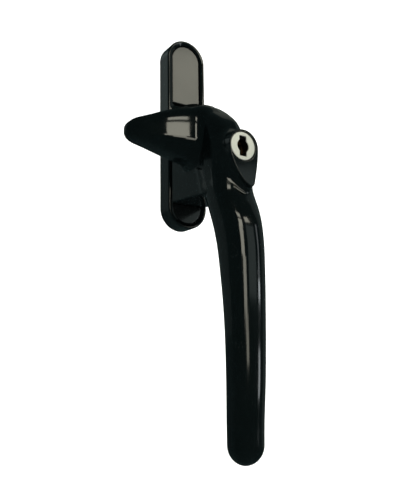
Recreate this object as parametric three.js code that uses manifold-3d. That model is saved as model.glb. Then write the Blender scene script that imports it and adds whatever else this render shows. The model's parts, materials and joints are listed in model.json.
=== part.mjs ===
// A locking cockspur handle for an outward-opening casement window, shown closed and unlocked.
// Millimetres. +X is to the right as seen from the room, -Y points into the room, +Z is up.
// The origin is the centre of the back plate's rear face, which is screwed to the window.
// "Out" means the distance into the room from that rear face, so a point's Y is minus its out.
import * as THREE from "three";
import { mergeVertices } from "three/addons/utils/BufferGeometryUtils.js";
import Module from "manifold-3d";

const wasm = await Module();
wasm.setup();

// ---- Driving dimensions -------------------------------------------------------------------
const FIT = 0.15; // clearance round a pin that stays put in its hole
const RUNNING = 0.08; // clearance round a shaft that turns
const RUNNING_GAP = 0.8; // between the plate's front and the hub's rear face

const PLATE = { width: 20, length: 92, thickness: 8.4, edge: 0.8, rim: 2.3 };
const PANEL = { depth: 2.4, fit: 0.25, thickness: 1.2 };
const UPPER_PANEL = { low: 13.4, high: 43.7, screw: 31 };
const LOWER_PANEL = { low: -43.7, high: -34.6, screw: -39 };
const SCREW = { hole: 2.3, pocket: 3.4, seat: 3 };

const PIVOT_Z = -15;
const HUB_REAR = PLATE.thickness + RUNNING_GAP;
const SPINDLE = { radius: 3.5, end: 27.6, headRadius: 6.6, headFrom: 0.3, headTo: 1.6 };
const BUSH = { outer: 4.8, from: 2.8 };
const REAR_POCKET = { radius: 7.2, depth: 2.6 };
const THRUST_WASHER = { inner: 3.9, outer: 5.9, from: 8.55, to: 9.05 };
const WAVE_WASHER = { inner: 4, outer: 6.3, thickness: 0.3, wave: 0.16, waves: 3 };
const SPINDLE_PIN = { out: 25.8, radius: 0.75, bore: 0.4, top: 3, bottom: -20.5 };
const DETENT = { orbit: 7.6, ball: 1.2, track: 0.9, dimple: 0.45, pocket: 7.5 };

const LOCK_Z = -20;
const FACE = 51.7; // how far out the lock's face stands
const PLUG = { head: 5.88, headDepth: 1.7, body: 4.6, bodyEnd: 35.7, tail: 2, tailEnd: 32.4 };
const KEYWAY = { width: 3.4, height: 8.6, eye: 2.8, innerHeight: 7, end: 37.5 };
const BARREL = { outer: 5.8, inner: 4.75, from: 36, to: 49.7, seat: 6.05 };
const BARREL_PIN = { out: 42, drop: 6.1, radius: 0.75, left: -6, right: 7.2 };
const CAM = { outer: 4.7, inner: 3.3, front: 35.4, rear: 33.8, lift: 3.6, sweep: 125 };
const CLIP = { groove: 1.5, inner: 1.65, outer: 2.9, from: 32.95, to: 33.45 };
const CHAMBER = { radius: 5.1, from: 29.8 };
const WAFERS = { count: 4, first: 47.2, pitch: 2.8, thickness: 1, width: 5, height: 7 };
const WAFER_LUG = { height: 0.8, travel: 0.4 };
const WAFER_SPRING = { x: 3.3, radius: 0.45, wire: 0.12, turns: 4, low: -2.6, high: -0.6 };

const BOLT = { z: -28.5, radius: 1.3, tip: 9.8, footFrom: 29.2, footTo: 31 };
const BOLT_FOOT = { width: 3, low: -30, high: -22.9 };
const FOLLOWER = { z: -23.95, radius: 1.1, tip: 33.4 };
const BOLT_SLOT = { halfWidth: 2.2, low: -30.9, high: -22.3 };
const BOLT_GUIDE = { from: 9.5, to: 13, hole: 1.45 };
const BOLT_SPRING = { radius: 1.75, wire: 0.25, turns: 9 };

const HUB_POWER = 4.5; // how square the hub's level sections are: 2 is an ellipse
const NOSE_REAR = 20; // out of the face that bears on the keeper
const GRIP = { power: 2.8, tip: -144.1, tipLength: 7.5, steps: 26 };
const BOSS = { root: 36, flare: 1.25 };

const SIDES = 32;
const FINE = 40;

// The hub in level sections: height, out of its front, half width.
const HUB_SECTIONS = [
  [8.6, 17, 5.6], [8.3, 20.5, 7.4], [7.4, 24, 8.4], [5.6, 28, 9], [3, 32, 9], [0, 35.8, 9],
  [-4, 40, 9], [-9, 43.2, 9], [-15, 45.2, 9], [-24, 47, 9], [-37, 49.6, 9.1],
];

// The nose in upright sections from the hub to its tip: x, out, height, half depth, half height.
const NOSE_SECTIONS = [
  [-4, 26.4, -9.8, 8.2, 13.2], [-9, 26.3, -9.9, 8.2, 12.6], [-16, 25.8, -9.9, 7.6, 10.8],
  [-24, 24.7, -10.3, 6.5, 8.2], [-32, 23.3, -10.8, 5.1, 5.6], [-36, 22.5, -11.1, 4.2, 4.2],
  [-38.2, 22.2, -11.3, 3.2, 3], [-39.2, 22.2, -11.4, 1.6, 1.5],
];

// The grip's centre line (x, out, height), with its half width and half depth there.
const GRIP_SECTIONS = [
  [0, 40, -30, 8.8, 8], [0.6, 41.5, -40, 9.2, 9], [2.3, 44.2, -56, 8.8, 8.2],
  [2.8, 45.3, -72, 8.4, 7.4], [2.9, 45.8, -90, 8, 6.6], [2.8, 45.6, -112, 7.5, 6.2],
  [2.5, 45, -130, 7.1, 5.8], [2.4, 44.8, -144.1, 6.9, 5.6],
];

// ---- Finishes -----------------------------------------------------------------------------
const finish = (color, roughness, metalness) => ({ color, roughness, metalness });
const BLACK_ENAMEL = finish(0x0b0d0d, 0.16, 0.1);
const BLACK_PLASTIC = finish(0x151716, 0.4, 0);
const STEEL = finish(0x9aa0a5, 0.35, 1);
const SPRING_STEEL = finish(0x7e848a, 0.4, 1);
const CAST_ZINC = finish(0xcfccbf, 0.45, 0.8);
const BRASS = finish(0xb08a4a, 0.35, 1);
const NYLON = finish(0xd8d5c8, 0.6, 0);

// ---- Frames: their local Z points out into the room, their local Y is up --------------------
const outwards = new THREE.Matrix4().makeRotationX(Math.PI / 2);
const frameAt = (z) => new THREE.Matrix4().makeTranslation(0, 0, z).multiply(outwards);
const PLATE_FRAME = frameAt(0);
const PIVOT_FRAME = frameAt(PIVOT_Z);
const LOCK_FRAME = frameAt(LOCK_Z);

// ---- Making solids --------------------------------------------------------------------------
function solid(geometry, matrix = new THREE.Matrix4()) {
  const plain = geometry.clone().applyMatrix4(matrix);
  plain.deleteAttribute("normal");
  plain.deleteAttribute("uv");
  const merged = mergeVertices(plain, 1e-4);
  return new wasm.Manifold(
    new wasm.Mesh({
      numProp: 3,
      vertProperties: merged.attributes.position.array,
      triVerts: new Uint32Array(merged.index.array),
    }),
  );
}

function geometryOf(manifold) {
  const mesh = manifold.getMesh();
  return new THREE.BufferGeometry()
    .setAttribute("position", new THREE.BufferAttribute(mesh.vertProperties, 3))
    .setIndex(new THREE.BufferAttribute(mesh.triVerts, 1));
}

function node(name, shape, look) {
  const geometry = shape.isBufferGeometry ? shape : geometryOf(shape);
  geometry.computeVertexNormals();
  const mesh = new THREE.Mesh(geometry, new THREE.MeshStandardMaterial(look));
  mesh.name = name;
  return mesh;
}

function group(matrix, meshes) {
  const made = new THREE.Group();
  made.applyMatrix4(matrix);
  made.add(...meshes);
  return made;
}

// A round bar along local Z, from one distance out to another.
function rod(radius, from, to, x = 0, y = 0, sides = SIDES) {
  const bar = new THREE.CylinderGeometry(radius, radius, to - from, sides);
  return bar.rotateX(Math.PI / 2).translate(x, y, (from + to) / 2);
}

function block(width, height, from, to, x = 0, y = 0) {
  return new THREE.BoxGeometry(width, height, to - from).translate(x, y, (from + to) / 2);
}

// A body of revolution about local Z, from [radius, out] pairs.
function turned(profile, sides = SIDES) {
  const points = profile.map(([radius, out]) => new THREE.Vector2(radius, out));
  return new THREE.LatheGeometry(points, sides).rotateX(Math.PI / 2);
}

function ring(inner, outer, from, to, sides = SIDES) {
  return turned([[inner, from], [outer, from], [outer, to], [inner, to], [inner, from]], sides);
}

function prism(shape, from, to, curveSegments = 12) {
  const settings = { depth: to - from, bevelEnabled: false, curveSegments };
  return new THREE.ExtrudeGeometry(shape, settings).translate(0, 0, from);
}

// A part ring in the local XY plane, from one angle round to another.
function arcBand(inner, outer, start, end) {
  const shape = new THREE.Shape();
  shape.absarc(0, 0, outer, start, end);
  shape.absarc(0, 0, inner, end, start, true);
  return shape;
}

// A coil of round wire about local Z that fills the space between two distances out.
function coil(radius, wire, from, to, turns) {
  const steps = turns * 10;
  const points = [];
  for (let i = 0; i <= steps; i++) {
    const angle = (i / steps) * turns * Math.PI * 2;
    const out = THREE.MathUtils.lerp(from + wire, to - wire, i / steps);
    points.push(new THREE.Vector3(radius * Math.cos(angle), radius * Math.sin(angle), out));
  }
  const section = new THREE.Shape().absarc(0, 0, wire, 0, Math.PI * 2);
  const extrudePath = new THREE.CatmullRomCurve3(points);
  return new THREE.ExtrudeGeometry(section, { steps, extrudePath, curveSegments: 3 });
}

// How far a point of the unit circle moves out to lie on the superellipse of this power.
function squarer(x, y, power) {
  return (Math.abs(x) ** power + Math.abs(y) ** power) ** (-1 / power);
}

// A closed skin through rounded sections. The way along them, across and deep are right-handed.
function loft(sections, power, sides) {
  const skin = new THREE.CylinderGeometry(1, 1, 1, sides, sections.length - 1);
  const at = skin.attributes.position;
  const spot = new THREE.Vector3();
  for (let i = 0; i < at.count; i++) {
    const section = sections[Math.round((0.5 - at.getY(i)) * (sections.length - 1))];
    const onRim = Math.hypot(at.getX(i), at.getZ(i)) > 0.5;
    const size = onRim ? squarer(at.getX(i), at.getZ(i), power) : 0;
    spot.copy(section.centre);
    spot.addScaledVector(section.across, at.getX(i) * size);
    spot.addScaledVector(section.deep, at.getZ(i) * size);
    at.setXYZ(i, spot.x, spot.y, spot.z);
  }
  return skin;
}

// ---- Back plate and screw covers (plate frame) ----------------------------------------------
function roundEnded(halfWidth, low, high) {
  const shape = new THREE.Shape();
  shape.absarc(0, low + halfWidth, halfWidth, Math.PI, Math.PI * 2);
  shape.absarc(0, high - halfWidth, halfWidth, 0, Math.PI);
  return shape;
}

// A panel with a round end towards the plate's end and a square end towards the hub.
function panelShape({ low, high }, inset) {
  const half = PLATE.width / 2 - PLATE.rim - inset;
  const shape = new THREE.Shape();
  if (high > 0) {
    shape.moveTo(-half, low + inset);
    shape.lineTo(half, low + inset);
    return shape.absarc(0, high - inset - half, half, 0, Math.PI);
  }
  shape.moveTo(half, high - inset);
  shape.lineTo(-half, high - inset);
  return shape.absarc(0, low + inset + half, half, Math.PI, Math.PI * 2);
}

function plateBlank() {
  const { width, length, thickness, edge } = PLATE;
  const core = roundEnded(width / 2 - edge, edge - length / 2, length / 2 - edge);
  const bevel = { bevelThickness: edge, bevelSize: edge, bevelSegments: 2, curveSegments: 16 };
  const settings = { depth: thickness - 2 * edge, ...bevel };
  const blank = solid(new THREE.ExtrudeGeometry(core, settings).translate(0, 0, edge));
  const full = roundEnded(width / 2, -length / 2, length / 2);
  return blank.add(solid(prism(full, 0, thickness / 2, 16)));
}

// The quarter-round track that the detent ball runs in, with a deeper dimple at each end.
function detentTrack() {
  const { orbit, ball, track, dimple } = DETENT;
  const half = ball + 0.2;
  const floor = PLATE.thickness - track;
  const shape = new THREE.Shape();
  shape.absarc(0, 0, orbit + half, Math.PI / 2, Math.PI);
  shape.absarc(-orbit, 0, half, Math.PI, Math.PI * 2);
  shape.absarc(0, 0, orbit - half, Math.PI, Math.PI / 2, true);
  shape.absarc(0, orbit, half, -Math.PI / 2, Math.PI / 2);
  let cut = solid(prism(shape, floor, PLATE.thickness + 1, 8));
  for (const [x, y] of [[0, orbit], [-orbit, 0]]) {
    cut = cut.add(solid(rod(ball, floor - dimple, PLATE.thickness, x, y, 20)));
  }
  return cut.translate(0, PIVOT_Z, 0);
}

function backPlate() {
  const { thickness } = PLATE;
  const cuts = [
    rod(BUSH.outer + FIT, -1, thickness + 1, 0, PIVOT_Z),
    rod(REAR_POCKET.radius, -1, REAR_POCKET.depth, 0, PIVOT_Z),
    rod(BOLT.radius + 0.35, 3.4, thickness + 1, 0, BOLT.z, 20),
  ];
  for (const panel of [UPPER_PANEL, LOWER_PANEL]) {
    cuts.push(prism(panelShape(panel, 0), thickness - PANEL.depth, thickness + 1));
    cuts.push(rod(SCREW.hole, -1, thickness, 0, panel.screw, 20));
    cuts.push(rod(SCREW.pocket, SCREW.seat, thickness, 0, panel.screw, 24));
  }
  const plate = cuts.reduce((left, cut) => left.subtract(solid(cut)), plateBlank());
  return plate.subtract(detentTrack());
}

// A snap-in cover: a thin panel with a spigot ring that plugs into the screw's pocket.
function screwCover(panel) {
  const bottom = PLATE.thickness - PANEL.depth + PANEL.fit;
  const outer = SCREW.pocket - PANEL.fit;
  const cover = solid(prism(panelShape(panel, PANEL.fit), bottom, bottom + PANEL.thickness));
  const spigot = ring(outer - 0.8, outer, bottom - 1.6, bottom + 0.3, 24);
  return cover.add(solid(spigot.translate(0, panel.screw, 0)));
}

// ---- Pivot (pivot frame) ----------------------------------------------------------------------
function pivotSpindle() {
  const { radius, end, headRadius, headFrom, headTo } = SPINDLE;
  const chamfer = 0.5;
  const profile = [
    [0, headFrom], [headRadius, headFrom], [headRadius, headTo], [radius, headTo],
    [radius, end - chamfer], [radius - chamfer, end], [0, end],
  ];
  const hole = rod(SPINDLE_PIN.radius + FIT, -headRadius, headRadius, 0, 0, 16);
  const cross = hole.rotateX(Math.PI / 2).translate(0, 0, SPINDLE_PIN.out);
  return solid(turned(profile)).subtract(solid(cross));
}

function waveWasher() {
  const { inner, outer, thickness, wave, waves } = WAVE_WASHER;
  const washer = ring(inner, outer, -thickness / 2, thickness / 2, FINE);
  const at = washer.attributes.position;
  for (let i = 0; i < at.count; i++) {
    const angle = Math.atan2(at.getY(i), at.getX(i));
    at.setZ(i, at.getZ(i) + wave * Math.cos(waves * angle));
  }
  return washer.translate(0, 0, (SPINDLE.headTo + REAR_POCKET.depth) / 2);
}

// A rolled spring pin, upright in the object's own frame, with its slot along its length.
function spindlePin() {
  const { radius, bore, top, bottom, out } = SPINDLE_PIN;
  const opening = 0.4;
  const shape = arcBand(bore, radius, opening, Math.PI * 2 - opening);
  return prism(shape, bottom, top, 10).translate(0, -out, 0);
}

function detentBall() {
  const seat = PLATE.thickness - DETENT.track + 0.05;
  const ball = new THREE.SphereGeometry(DETENT.ball, 20, 14);
  return ball.translate(0, DETENT.orbit, seat + DETENT.ball);
}

function detentSpring() {
  const start = PLATE.thickness - DETENT.track + 2 * DETENT.ball + 0.3;
  const spring = coil(0.85, 0.2, start, HUB_REAR + DETENT.pocket - 0.2, 6);
  return spring.translate(0, DETENT.orbit, 0);
}

// ---- Handle casting (object frame) ------------------------------------------------------------
function hubBlock() {
  const behind = new THREE.BoxGeometry(60, 20, 100).translate(0, 10 - HUB_REAR, 0);
  const sections = HUB_SECTIONS.map(([z, front, half]) => ({
    centre: new THREE.Vector3(0, -front / 2, z),
    across: new THREE.Vector3(half, 0, 0),
    deep: new THREE.Vector3(0, -front / 2, 0),
  }));
  return solid(loft(sections, HUB_POWER, FINE)).subtract(solid(behind));
}

// A smooth value at a height, from one column of the grip's sections.
function gripAt(z, column) {
  const table = GRIP_SECTIONS;
  let i = 1;
  while (i < table.length - 1 && table[i][2] > z) i++;
  const [before, a, b, after] = [i - 2, i - 1, i, i + 1].map(
    (k) => table[THREE.MathUtils.clamp(k, 0, table.length - 1)],
  );
  const t = (z - a[2]) / (b[2] - a[2]);
  const span = b[2] - a[2];
  const slopeA = ((b[column] - before[column]) / (b[2] - before[2])) * span;
  const slopeB = ((after[column] - a[column]) / (after[2] - a[2])) * span;
  const [t2, t3] = [t * t, t * t * t];
  return (
    (2 * t3 - 3 * t2 + 1) * a[column] + (t3 - 2 * t2 + t) * slopeA +
    (3 * t2 - 2 * t3) * b[column] + (t3 - t2) * slopeB
  );
}

function grip() {
  const top = GRIP_SECTIONS[0][2];
  const sections = [];
  for (let i = 0; i <= GRIP.steps; i++) {
    const share = i / GRIP.steps;
    const eased = share < 0.75 ? share * 1.26 : 1 - 0.88 * (1 - share) ** 2;
    const z = THREE.MathUtils.lerp(top, GRIP.tip, Math.min(1, eased));
    const past = Math.max(0, GRIP.tip + GRIP.tipLength - z) / GRIP.tipLength;
    const round = Math.sqrt(Math.max(0.03, 1 - past * past));
    sections.push({
      centre: new THREE.Vector3(gripAt(z, 0), -gripAt(z, 1), z),
      across: new THREE.Vector3(gripAt(z, 3) * round, 0, 0),
      deep: new THREE.Vector3(0, -gripAt(z, 4) * round, 0),
    });
  }
  return solid(loft(sections, GRIP.power, FINE));
}

// The nose tapers to a blunt tip. Its rear is cut flat where it bears on the keeper.
function nose() {
  const power = 3;
  const behind = new THREE.BoxGeometry(60, 20, 60).translate(-32, 10 - NOSE_REAR, -10);
  const sections = NOSE_SECTIONS.map(([x, out, z, deep, tall]) => ({
    centre: new THREE.Vector3(x, -out, z),
    across: new THREE.Vector3(0, -deep, 0),
    deep: new THREE.Vector3(0, 0, tall),
  }));
  return solid(loft(sections, power, SIDES)).subtract(solid(behind));
}

// The lock boss's outline: round above, and drawn down and across to a blunt point below.
function leafShape() {
  const shape = new THREE.Shape();
  shape.absarc(0.6, 0, 7.1, 0, Math.PI);
  shape.bezierCurveTo(-6.5, -6, -2, -13.5, 2.2, -15.9);
  shape.absarc(3.6, -14.4, 2, -2.3, -0.1);
  shape.bezierCurveTo(6.2, -12, 7.7, -5, 7.7, 0);
  return shape;
}

function lockBoss() {
  const boss = prism(leafShape(), BOSS.root, FACE, 12);
  const at = boss.attributes.position;
  const middle = (BOSS.root + FACE) / 2;
  for (let i = 0; i < at.count; i++) {
    const grow = at.getZ(i) < middle ? BOSS.flare : 1;
    at.setX(i, at.getX(i) * grow);
    at.setY(i, at.getY(i) * grow);
  }
  return solid(boss, LOCK_FRAME);
}

function barrelPinBar(radius, left, right) {
  const bar = rod(radius, left, right, 0, 0, 16).rotateY(Math.PI / 2);
  return bar.translate(0, -BARREL_PIN.drop, BARREL_PIN.out);
}

function handleHollows() {
  const { halfWidth, low, high } = BOLT_SLOT;
  const slotMiddle = (low + high) / 2;
  const slotEnd = BOLT.footTo + 0.4;
  const ballHole = rod(DETENT.ball + FIT, 0, HUB_REAR + DETENT.pocket, 0, DETENT.orbit, 20);
  const pinHole = rod(SPINDLE_PIN.radius + FIT, SPINDLE_PIN.bottom - 0.4, 20, 0, 0, 16);
  return [
    solid(rod(SPINDLE.radius + FIT, 0, SPINDLE.end + 0.3), PIVOT_FRAME),
    solid(ballHole, PIVOT_FRAME),
    solid(pinHole.translate(0, -SPINDLE_PIN.out, 0)),
    solid(block(2 * halfWidth, high - low, 0, slotEnd, 0, slotMiddle), PLATE_FRAME),
    solid(rod(CHAMBER.radius, CHAMBER.from, BARREL.from), LOCK_FRAME),
    solid(rod(BARREL.seat, BARREL.from - 0.2, FACE + 1, 0, 0, FINE), LOCK_FRAME),
    solid(barrelPinBar(BARREL_PIN.radius + FIT, BARREL_PIN.left - 0.2, 20), LOCK_FRAME),
  ];
}

function handleBody() {
  const casting = hubBlock().add(grip()).add(nose()).add(lockBoss());
  return handleHollows().reduce((left, hollow) => left.subtract(hollow), casting);
}

// ---- Lock (lock frame) ------------------------------------------------------------------------
function keywayShape(height) {
  const half = KEYWAY.width / 2;
  const corner = Math.acos(half / KEYWAY.eye);
  const shape = new THREE.Shape();
  shape.moveTo(half, -height / 2);
  shape.absarc(0, 0, KEYWAY.eye, -corner, corner);
  shape.lineTo(half, height / 2);
  shape.lineTo(-half, height / 2);
  shape.absarc(0, 0, KEYWAY.eye, Math.PI - corner, Math.PI + corner);
  shape.lineTo(-half, -height / 2);
  return shape;
}

function waferMiddle(i) {
  return WAFERS.first - WAFERS.pitch * i;
}

// The slot that a wafer slides in, with a side pocket for its lug and spring.
function waferSlot(i) {
  const half = WAFERS.thickness / 2 + 0.2;
  const [from, to] = [waferMiddle(i) - half, waferMiddle(i) + half];
  const { x, radius, low, high } = WAFER_SPRING;
  const top = high + WAFER_LUG.height + WAFER_LUG.travel + 0.3;
  const room = 2 * (radius + 0.25);
  const pocket = block(room, top - low + 0.1, from, to, x, (low + top) / 2 - 0.05);
  return solid(block(WAFERS.width + 0.4, 2 * PLUG.head, from, to)).add(solid(pocket));
}

function lockPlug() {
  const { head, headDepth, body, bodyEnd, tail, tailEnd } = PLUG;
  const chamfer = 0.25;
  const profile = [
    [0, tailEnd], [tail, tailEnd], [tail, CLIP.from - FIT], [CLIP.groove, CLIP.from - FIT],
    [CLIP.groove, CLIP.to + FIT], [tail, CLIP.to + FIT], [tail, bodyEnd], [body, bodyEnd],
    [body, FACE - headDepth], [head, FACE - headDepth], [head, FACE - chamfer],
    [head - chamfer, FACE], [0, FACE],
  ];
  const mouth = prism(keywayShape(KEYWAY.height), FACE - headDepth, FACE + 1, 8);
  const inner = prism(keywayShape(KEYWAY.innerHeight), KEYWAY.end, FACE, 8);
  let plug = solid(turned(profile)).subtract(solid(mouth)).subtract(solid(inner));
  for (let i = 0; i < WAFERS.count; i++) plug = plug.subtract(waferSlot(i));
  return plug;
}

// A flat tumbler with a window for the key, a little higher or lower from one to the next,
// and a side lug that stands on its spring.
function wafer(i) {
  const { thickness, width, height } = WAFERS;
  const middle = waferMiddle(i);
  const [from, to] = [middle - thickness / 2, middle + thickness / 2];
  const windowHeight = 4.4;
  const lift = 0.3 * ((i % 3) - 1);
  const plate = solid(block(width, height, from, to));
  const reach = WAFER_SPRING.x + WAFER_SPRING.radius;
  const lugMiddle = WAFER_SPRING.high + 0.1 + WAFER_LUG.height / 2;
  const lug = solid(block(reach, WAFER_LUG.height, from, to, reach / 2, lugMiddle));
  const opening = solid(block(KEYWAY.width, windowHeight, from - 1, to + 1, 0, lift));
  return plate.add(lug).subtract(opening);
}

function waferSpring(i) {
  const { x, radius, wire, turns, low, high } = WAFER_SPRING;
  const spring = coil(radius - wire, wire, low, high, turns);
  return spring.rotateX(-Math.PI / 2).translate(x, 0, waferMiddle(i));
}

function lockBarrel() {
  const sleeve = solid(ring(BARREL.inner, BARREL.outer, BARREL.from, BARREL.to, FINE));
  return sleeve.subtract(solid(barrelPinBar(BARREL_PIN.radius + FIT, -8, 8)));
}

// The cam on the plug's tail. A quarter turn of its ramp drives the bolt's follower inwards.
function lockCam() {
  const disc = solid(ring(PLUG.tail + FIT, CAM.outer, CAM.rear, CAM.front));
  const start = Math.PI / 2;
  const shape = arcBand(CAM.inner, CAM.outer, start, start + THREE.MathUtils.degToRad(CAM.sweep));
  const ramp = prism(shape, 0, 1, 24);
  const at = ramp.attributes.position;
  for (let i = 0; i < at.count; i++) {
    const angle = (Math.atan2(at.getY(i), at.getX(i)) + Math.PI * 2) % (Math.PI * 2);
    const share = THREE.MathUtils.clamp((angle - start) / (Math.PI / 2), 0, 1);
    at.setZ(i, at.getZ(i) > 0.5 ? CAM.rear + 0.5 : CAM.rear - CAM.lift * share);
  }
  const turnedDown = new THREE.Matrix4().makeRotationZ(Math.PI);
  return disc.add(solid(ramp, turnedDown));
}

function camClip() {
  const opening = 0.6;
  const shape = arcBand(CLIP.inner, CLIP.outer, opening, Math.PI * 2 - opening);
  return prism(shape, CLIP.from, CLIP.to, 14);
}

// ---- Locking bolt (plate frame) ---------------------------------------------------------------
function lockingBolt() {
  const { z, radius, tip, footFrom, footTo } = BOLT;
  const { width, low, high } = BOLT_FOOT;
  const domeStart = FOLLOWER.tip - FOLLOWER.radius;
  const pin = solid(rod(radius, tip, footFrom + 0.5, 0, z, 20));
  const foot = solid(block(width, high - low, footFrom, footTo, 0, (low + high) / 2));
  const post = solid(rod(FOLLOWER.radius, footTo - 0.5, domeStart, 0, FOLLOWER.z, 20));
  const dome = new THREE.SphereGeometry(FOLLOWER.radius, 20, 12).rotateX(Math.PI / 2);
  return pin.add(foot).add(post).add(solid(dome.translate(0, FOLLOWER.z, domeStart)));
}

function boltGuide() {
  const { halfWidth, low, high } = BOLT_SLOT;
  const { from, to, hole } = BOLT_GUIDE;
  const size = [2 * (halfWidth - FIT), high - low - 2 * FIT];
  const plug = solid(block(...size, from, to, 0, (low + high) / 2));
  return plug.subtract(solid(rod(hole, 0, 20, 0, BOLT.z, 20)));
}

function boltSpring() {
  const { radius, wire, turns } = BOLT_SPRING;
  const spring = coil(radius, wire, BOLT_GUIDE.to + 0.2, BOLT.footFrom - 0.2, turns);
  return spring.translate(0, BOLT.z, 0);
}

// ---- Assembly -----------------------------------------------------------------------------------
const wafers = [];
const waferSprings = [];
for (let i = 0; i < WAFERS.count; i++) {
  wafers.push(node(`wafer_${i + 1}`, wafer(i), BRASS));
  waferSprings.push(node(`wafer_spring_${i + 1}`, waferSpring(i), SPRING_STEEL));
}
const { inner, outer, from, to } = THRUST_WASHER;

const handle = new THREE.Group();
handle.add(
  group(PLATE_FRAME, [
    node("back_plate", backPlate(), BLACK_ENAMEL),
    node("upper_screw_cover", screwCover(UPPER_PANEL), BLACK_PLASTIC),
    node("lower_screw_cover", screwCover(LOWER_PANEL), BLACK_PLASTIC),
    node("locking_bolt", lockingBolt(), STEEL),
    node("bolt_guide", boltGuide(), NYLON),
    node("bolt_spring", boltSpring(), SPRING_STEEL),
  ]),
  group(PIVOT_FRAME, [
    node("pivot_spindle", pivotSpindle(), STEEL),
    node("spindle_bush", ring(SPINDLE.radius + RUNNING, BUSH.outer, BUSH.from, 8.3), NYLON),
    node("thrust_washer", ring(inner, outer, from, to), NYLON),
    node("wave_washer", waveWasher(), SPRING_STEEL),
    node("detent_ball", detentBall(), STEEL),
    node("detent_spring", detentSpring(), SPRING_STEEL),
  ]),
  group(LOCK_FRAME, [
    node("lock_plug", lockPlug(), CAST_ZINC),
    node("lock_barrel", lockBarrel(), CAST_ZINC),
    node("barrel_pin", barrelPinBar(BARREL_PIN.radius, BARREL_PIN.left, BARREL_PIN.right), STEEL),
    node("lock_cam", lockCam(), CAST_ZINC),
    node("cam_clip", camClip(), SPRING_STEEL),
    ...wafers,
    ...waferSprings,
  ]),
  node("spindle_pin", spindlePin(), SPRING_STEEL),
  node("handle_body", handleBody(), BLACK_ENAMEL),
);

export default handle;
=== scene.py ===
"""The looks of a locking cockspur window handle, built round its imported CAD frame.

Sizes and places inside the classes are in millimetres, as a maker would state them, and
every mesh is written in metres. X is to the right, Y points into the window, Z is up, and
a "depth" is the distance into the room from the back plate's rear face, so it is minus Y.
"""

import json
import logging
import math
from collections.abc import Callable, Sequence
from dataclasses import dataclass, field
from enum import Enum

import bpy
import numpy as np
from mathutils import Matrix, Vector


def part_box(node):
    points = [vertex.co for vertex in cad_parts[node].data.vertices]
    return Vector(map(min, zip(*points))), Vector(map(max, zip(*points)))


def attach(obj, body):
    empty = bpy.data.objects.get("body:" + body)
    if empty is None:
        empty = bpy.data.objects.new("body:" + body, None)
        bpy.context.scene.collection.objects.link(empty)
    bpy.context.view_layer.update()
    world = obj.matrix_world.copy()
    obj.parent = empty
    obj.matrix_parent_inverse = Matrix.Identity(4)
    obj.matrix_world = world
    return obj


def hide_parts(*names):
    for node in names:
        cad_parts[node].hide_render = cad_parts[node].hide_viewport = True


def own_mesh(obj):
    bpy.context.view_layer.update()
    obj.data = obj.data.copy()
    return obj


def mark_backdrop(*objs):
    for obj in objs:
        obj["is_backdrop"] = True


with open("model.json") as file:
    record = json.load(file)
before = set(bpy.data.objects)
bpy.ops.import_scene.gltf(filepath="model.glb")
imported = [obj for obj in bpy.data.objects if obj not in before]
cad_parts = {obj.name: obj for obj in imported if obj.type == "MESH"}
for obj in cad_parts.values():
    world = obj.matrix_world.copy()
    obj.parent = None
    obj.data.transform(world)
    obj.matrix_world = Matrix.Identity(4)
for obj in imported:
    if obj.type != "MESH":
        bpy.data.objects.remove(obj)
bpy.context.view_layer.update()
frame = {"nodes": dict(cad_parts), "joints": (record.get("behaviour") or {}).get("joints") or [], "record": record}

MM = 0.001
LOG = logging.getLogger("window_handle")

Array = np.ndarray
Field = Callable[[Array], Array]
Colour = tuple[float, float, float]
Point = tuple[float, float, float]
Room = tuple[Point, Point]


def frame_box(node: str) -> tuple[Array, Array]:
    """Gives a CAD node's lowest and highest corners in millimetres.

    Args:
        node: The CAD node's name.

    Returns:
        The two corners.
    """
    low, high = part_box(node)
    return np.array(low) / MM, np.array(high) / MM


def joint_place(name: str) -> Array:
    """Gives the place of a joint in millimetres.

    Args:
        name: The joint's name in the record.

    Returns:
        The joint's position.
    """
    found = next(joint for joint in frame["joints"] if joint["name"] == name)
    return np.array(found["pos_m"]) / MM


# ---- Solid fields: negative inside, about the distance to the surface in millimetres -----


def round_union(first: Array, second: Array, radius: float) -> Array:
    """Joins two solids with a round fillet in the crease between them.

    Args:
        first: Distances to the first solid.
        second: Distances to the second solid.
        radius: The fillet's radius.

    Returns:
        Distances to the joined solid.
    """
    reach = np.hypot(np.maximum(radius - first, 0), np.maximum(radius - second, 0))
    return np.maximum(radius, np.minimum(first, second)) - reach


def round_common(first: Array, second: Array, radius: float) -> Array:
    """Keeps what two solids share, with a round edge where they meet.

    Args:
        first: Distances to the first solid.
        second: Distances to the second solid.
        radius: The edge's radius.

    Returns:
        Distances to the shared solid.
    """
    return -round_union(-first, -second, radius)


def round_cut(solid: Array, tool: Array, radius: float) -> Array:
    """Cuts one solid out of another and rounds the cut's edge.

    Args:
        solid: Distances to the solid that stays.
        tool: Distances to the solid that is taken away.
        radius: The edge's radius.

    Returns:
        Distances to what is left.
    """
    return round_common(solid, -tool, radius)


def box_distance(across: Array, up: Array, half: tuple[float, float], corner: float) -> Array:
    """Gives the distance to a flat rectangle with round corners, centred on zero.

    Args:
        across: First coordinates.
        up: Second coordinates.
        half: Half the rectangle's two sides.
        corner: The corners' radius.

    Returns:
        Distances in the rectangle's plane.
    """
    u = np.abs(across) - half[0] + corner
    v = np.abs(up) - half[1] + corner
    outside = np.hypot(np.maximum(u, 0), np.maximum(v, 0))
    return outside + np.minimum(np.maximum(u, v), 0) - corner


def obround_distance(across: Array, up: Array, low: float, high: float, radius: float) -> Array:
    """Gives the distance to a flat upright shape with half-round ends.

    Args:
        across: Horizontal coordinates.
        up: Vertical coordinates.
        low: The shape's lowest height.
        high: The shape's greatest height.
        radius: The radius of the ends, half the width.

    Returns:
        Distances in the shape's plane.
    """
    nearest = np.clip(up, low + radius, high - radius)
    return np.hypot(across, up - nearest) - radius


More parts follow.
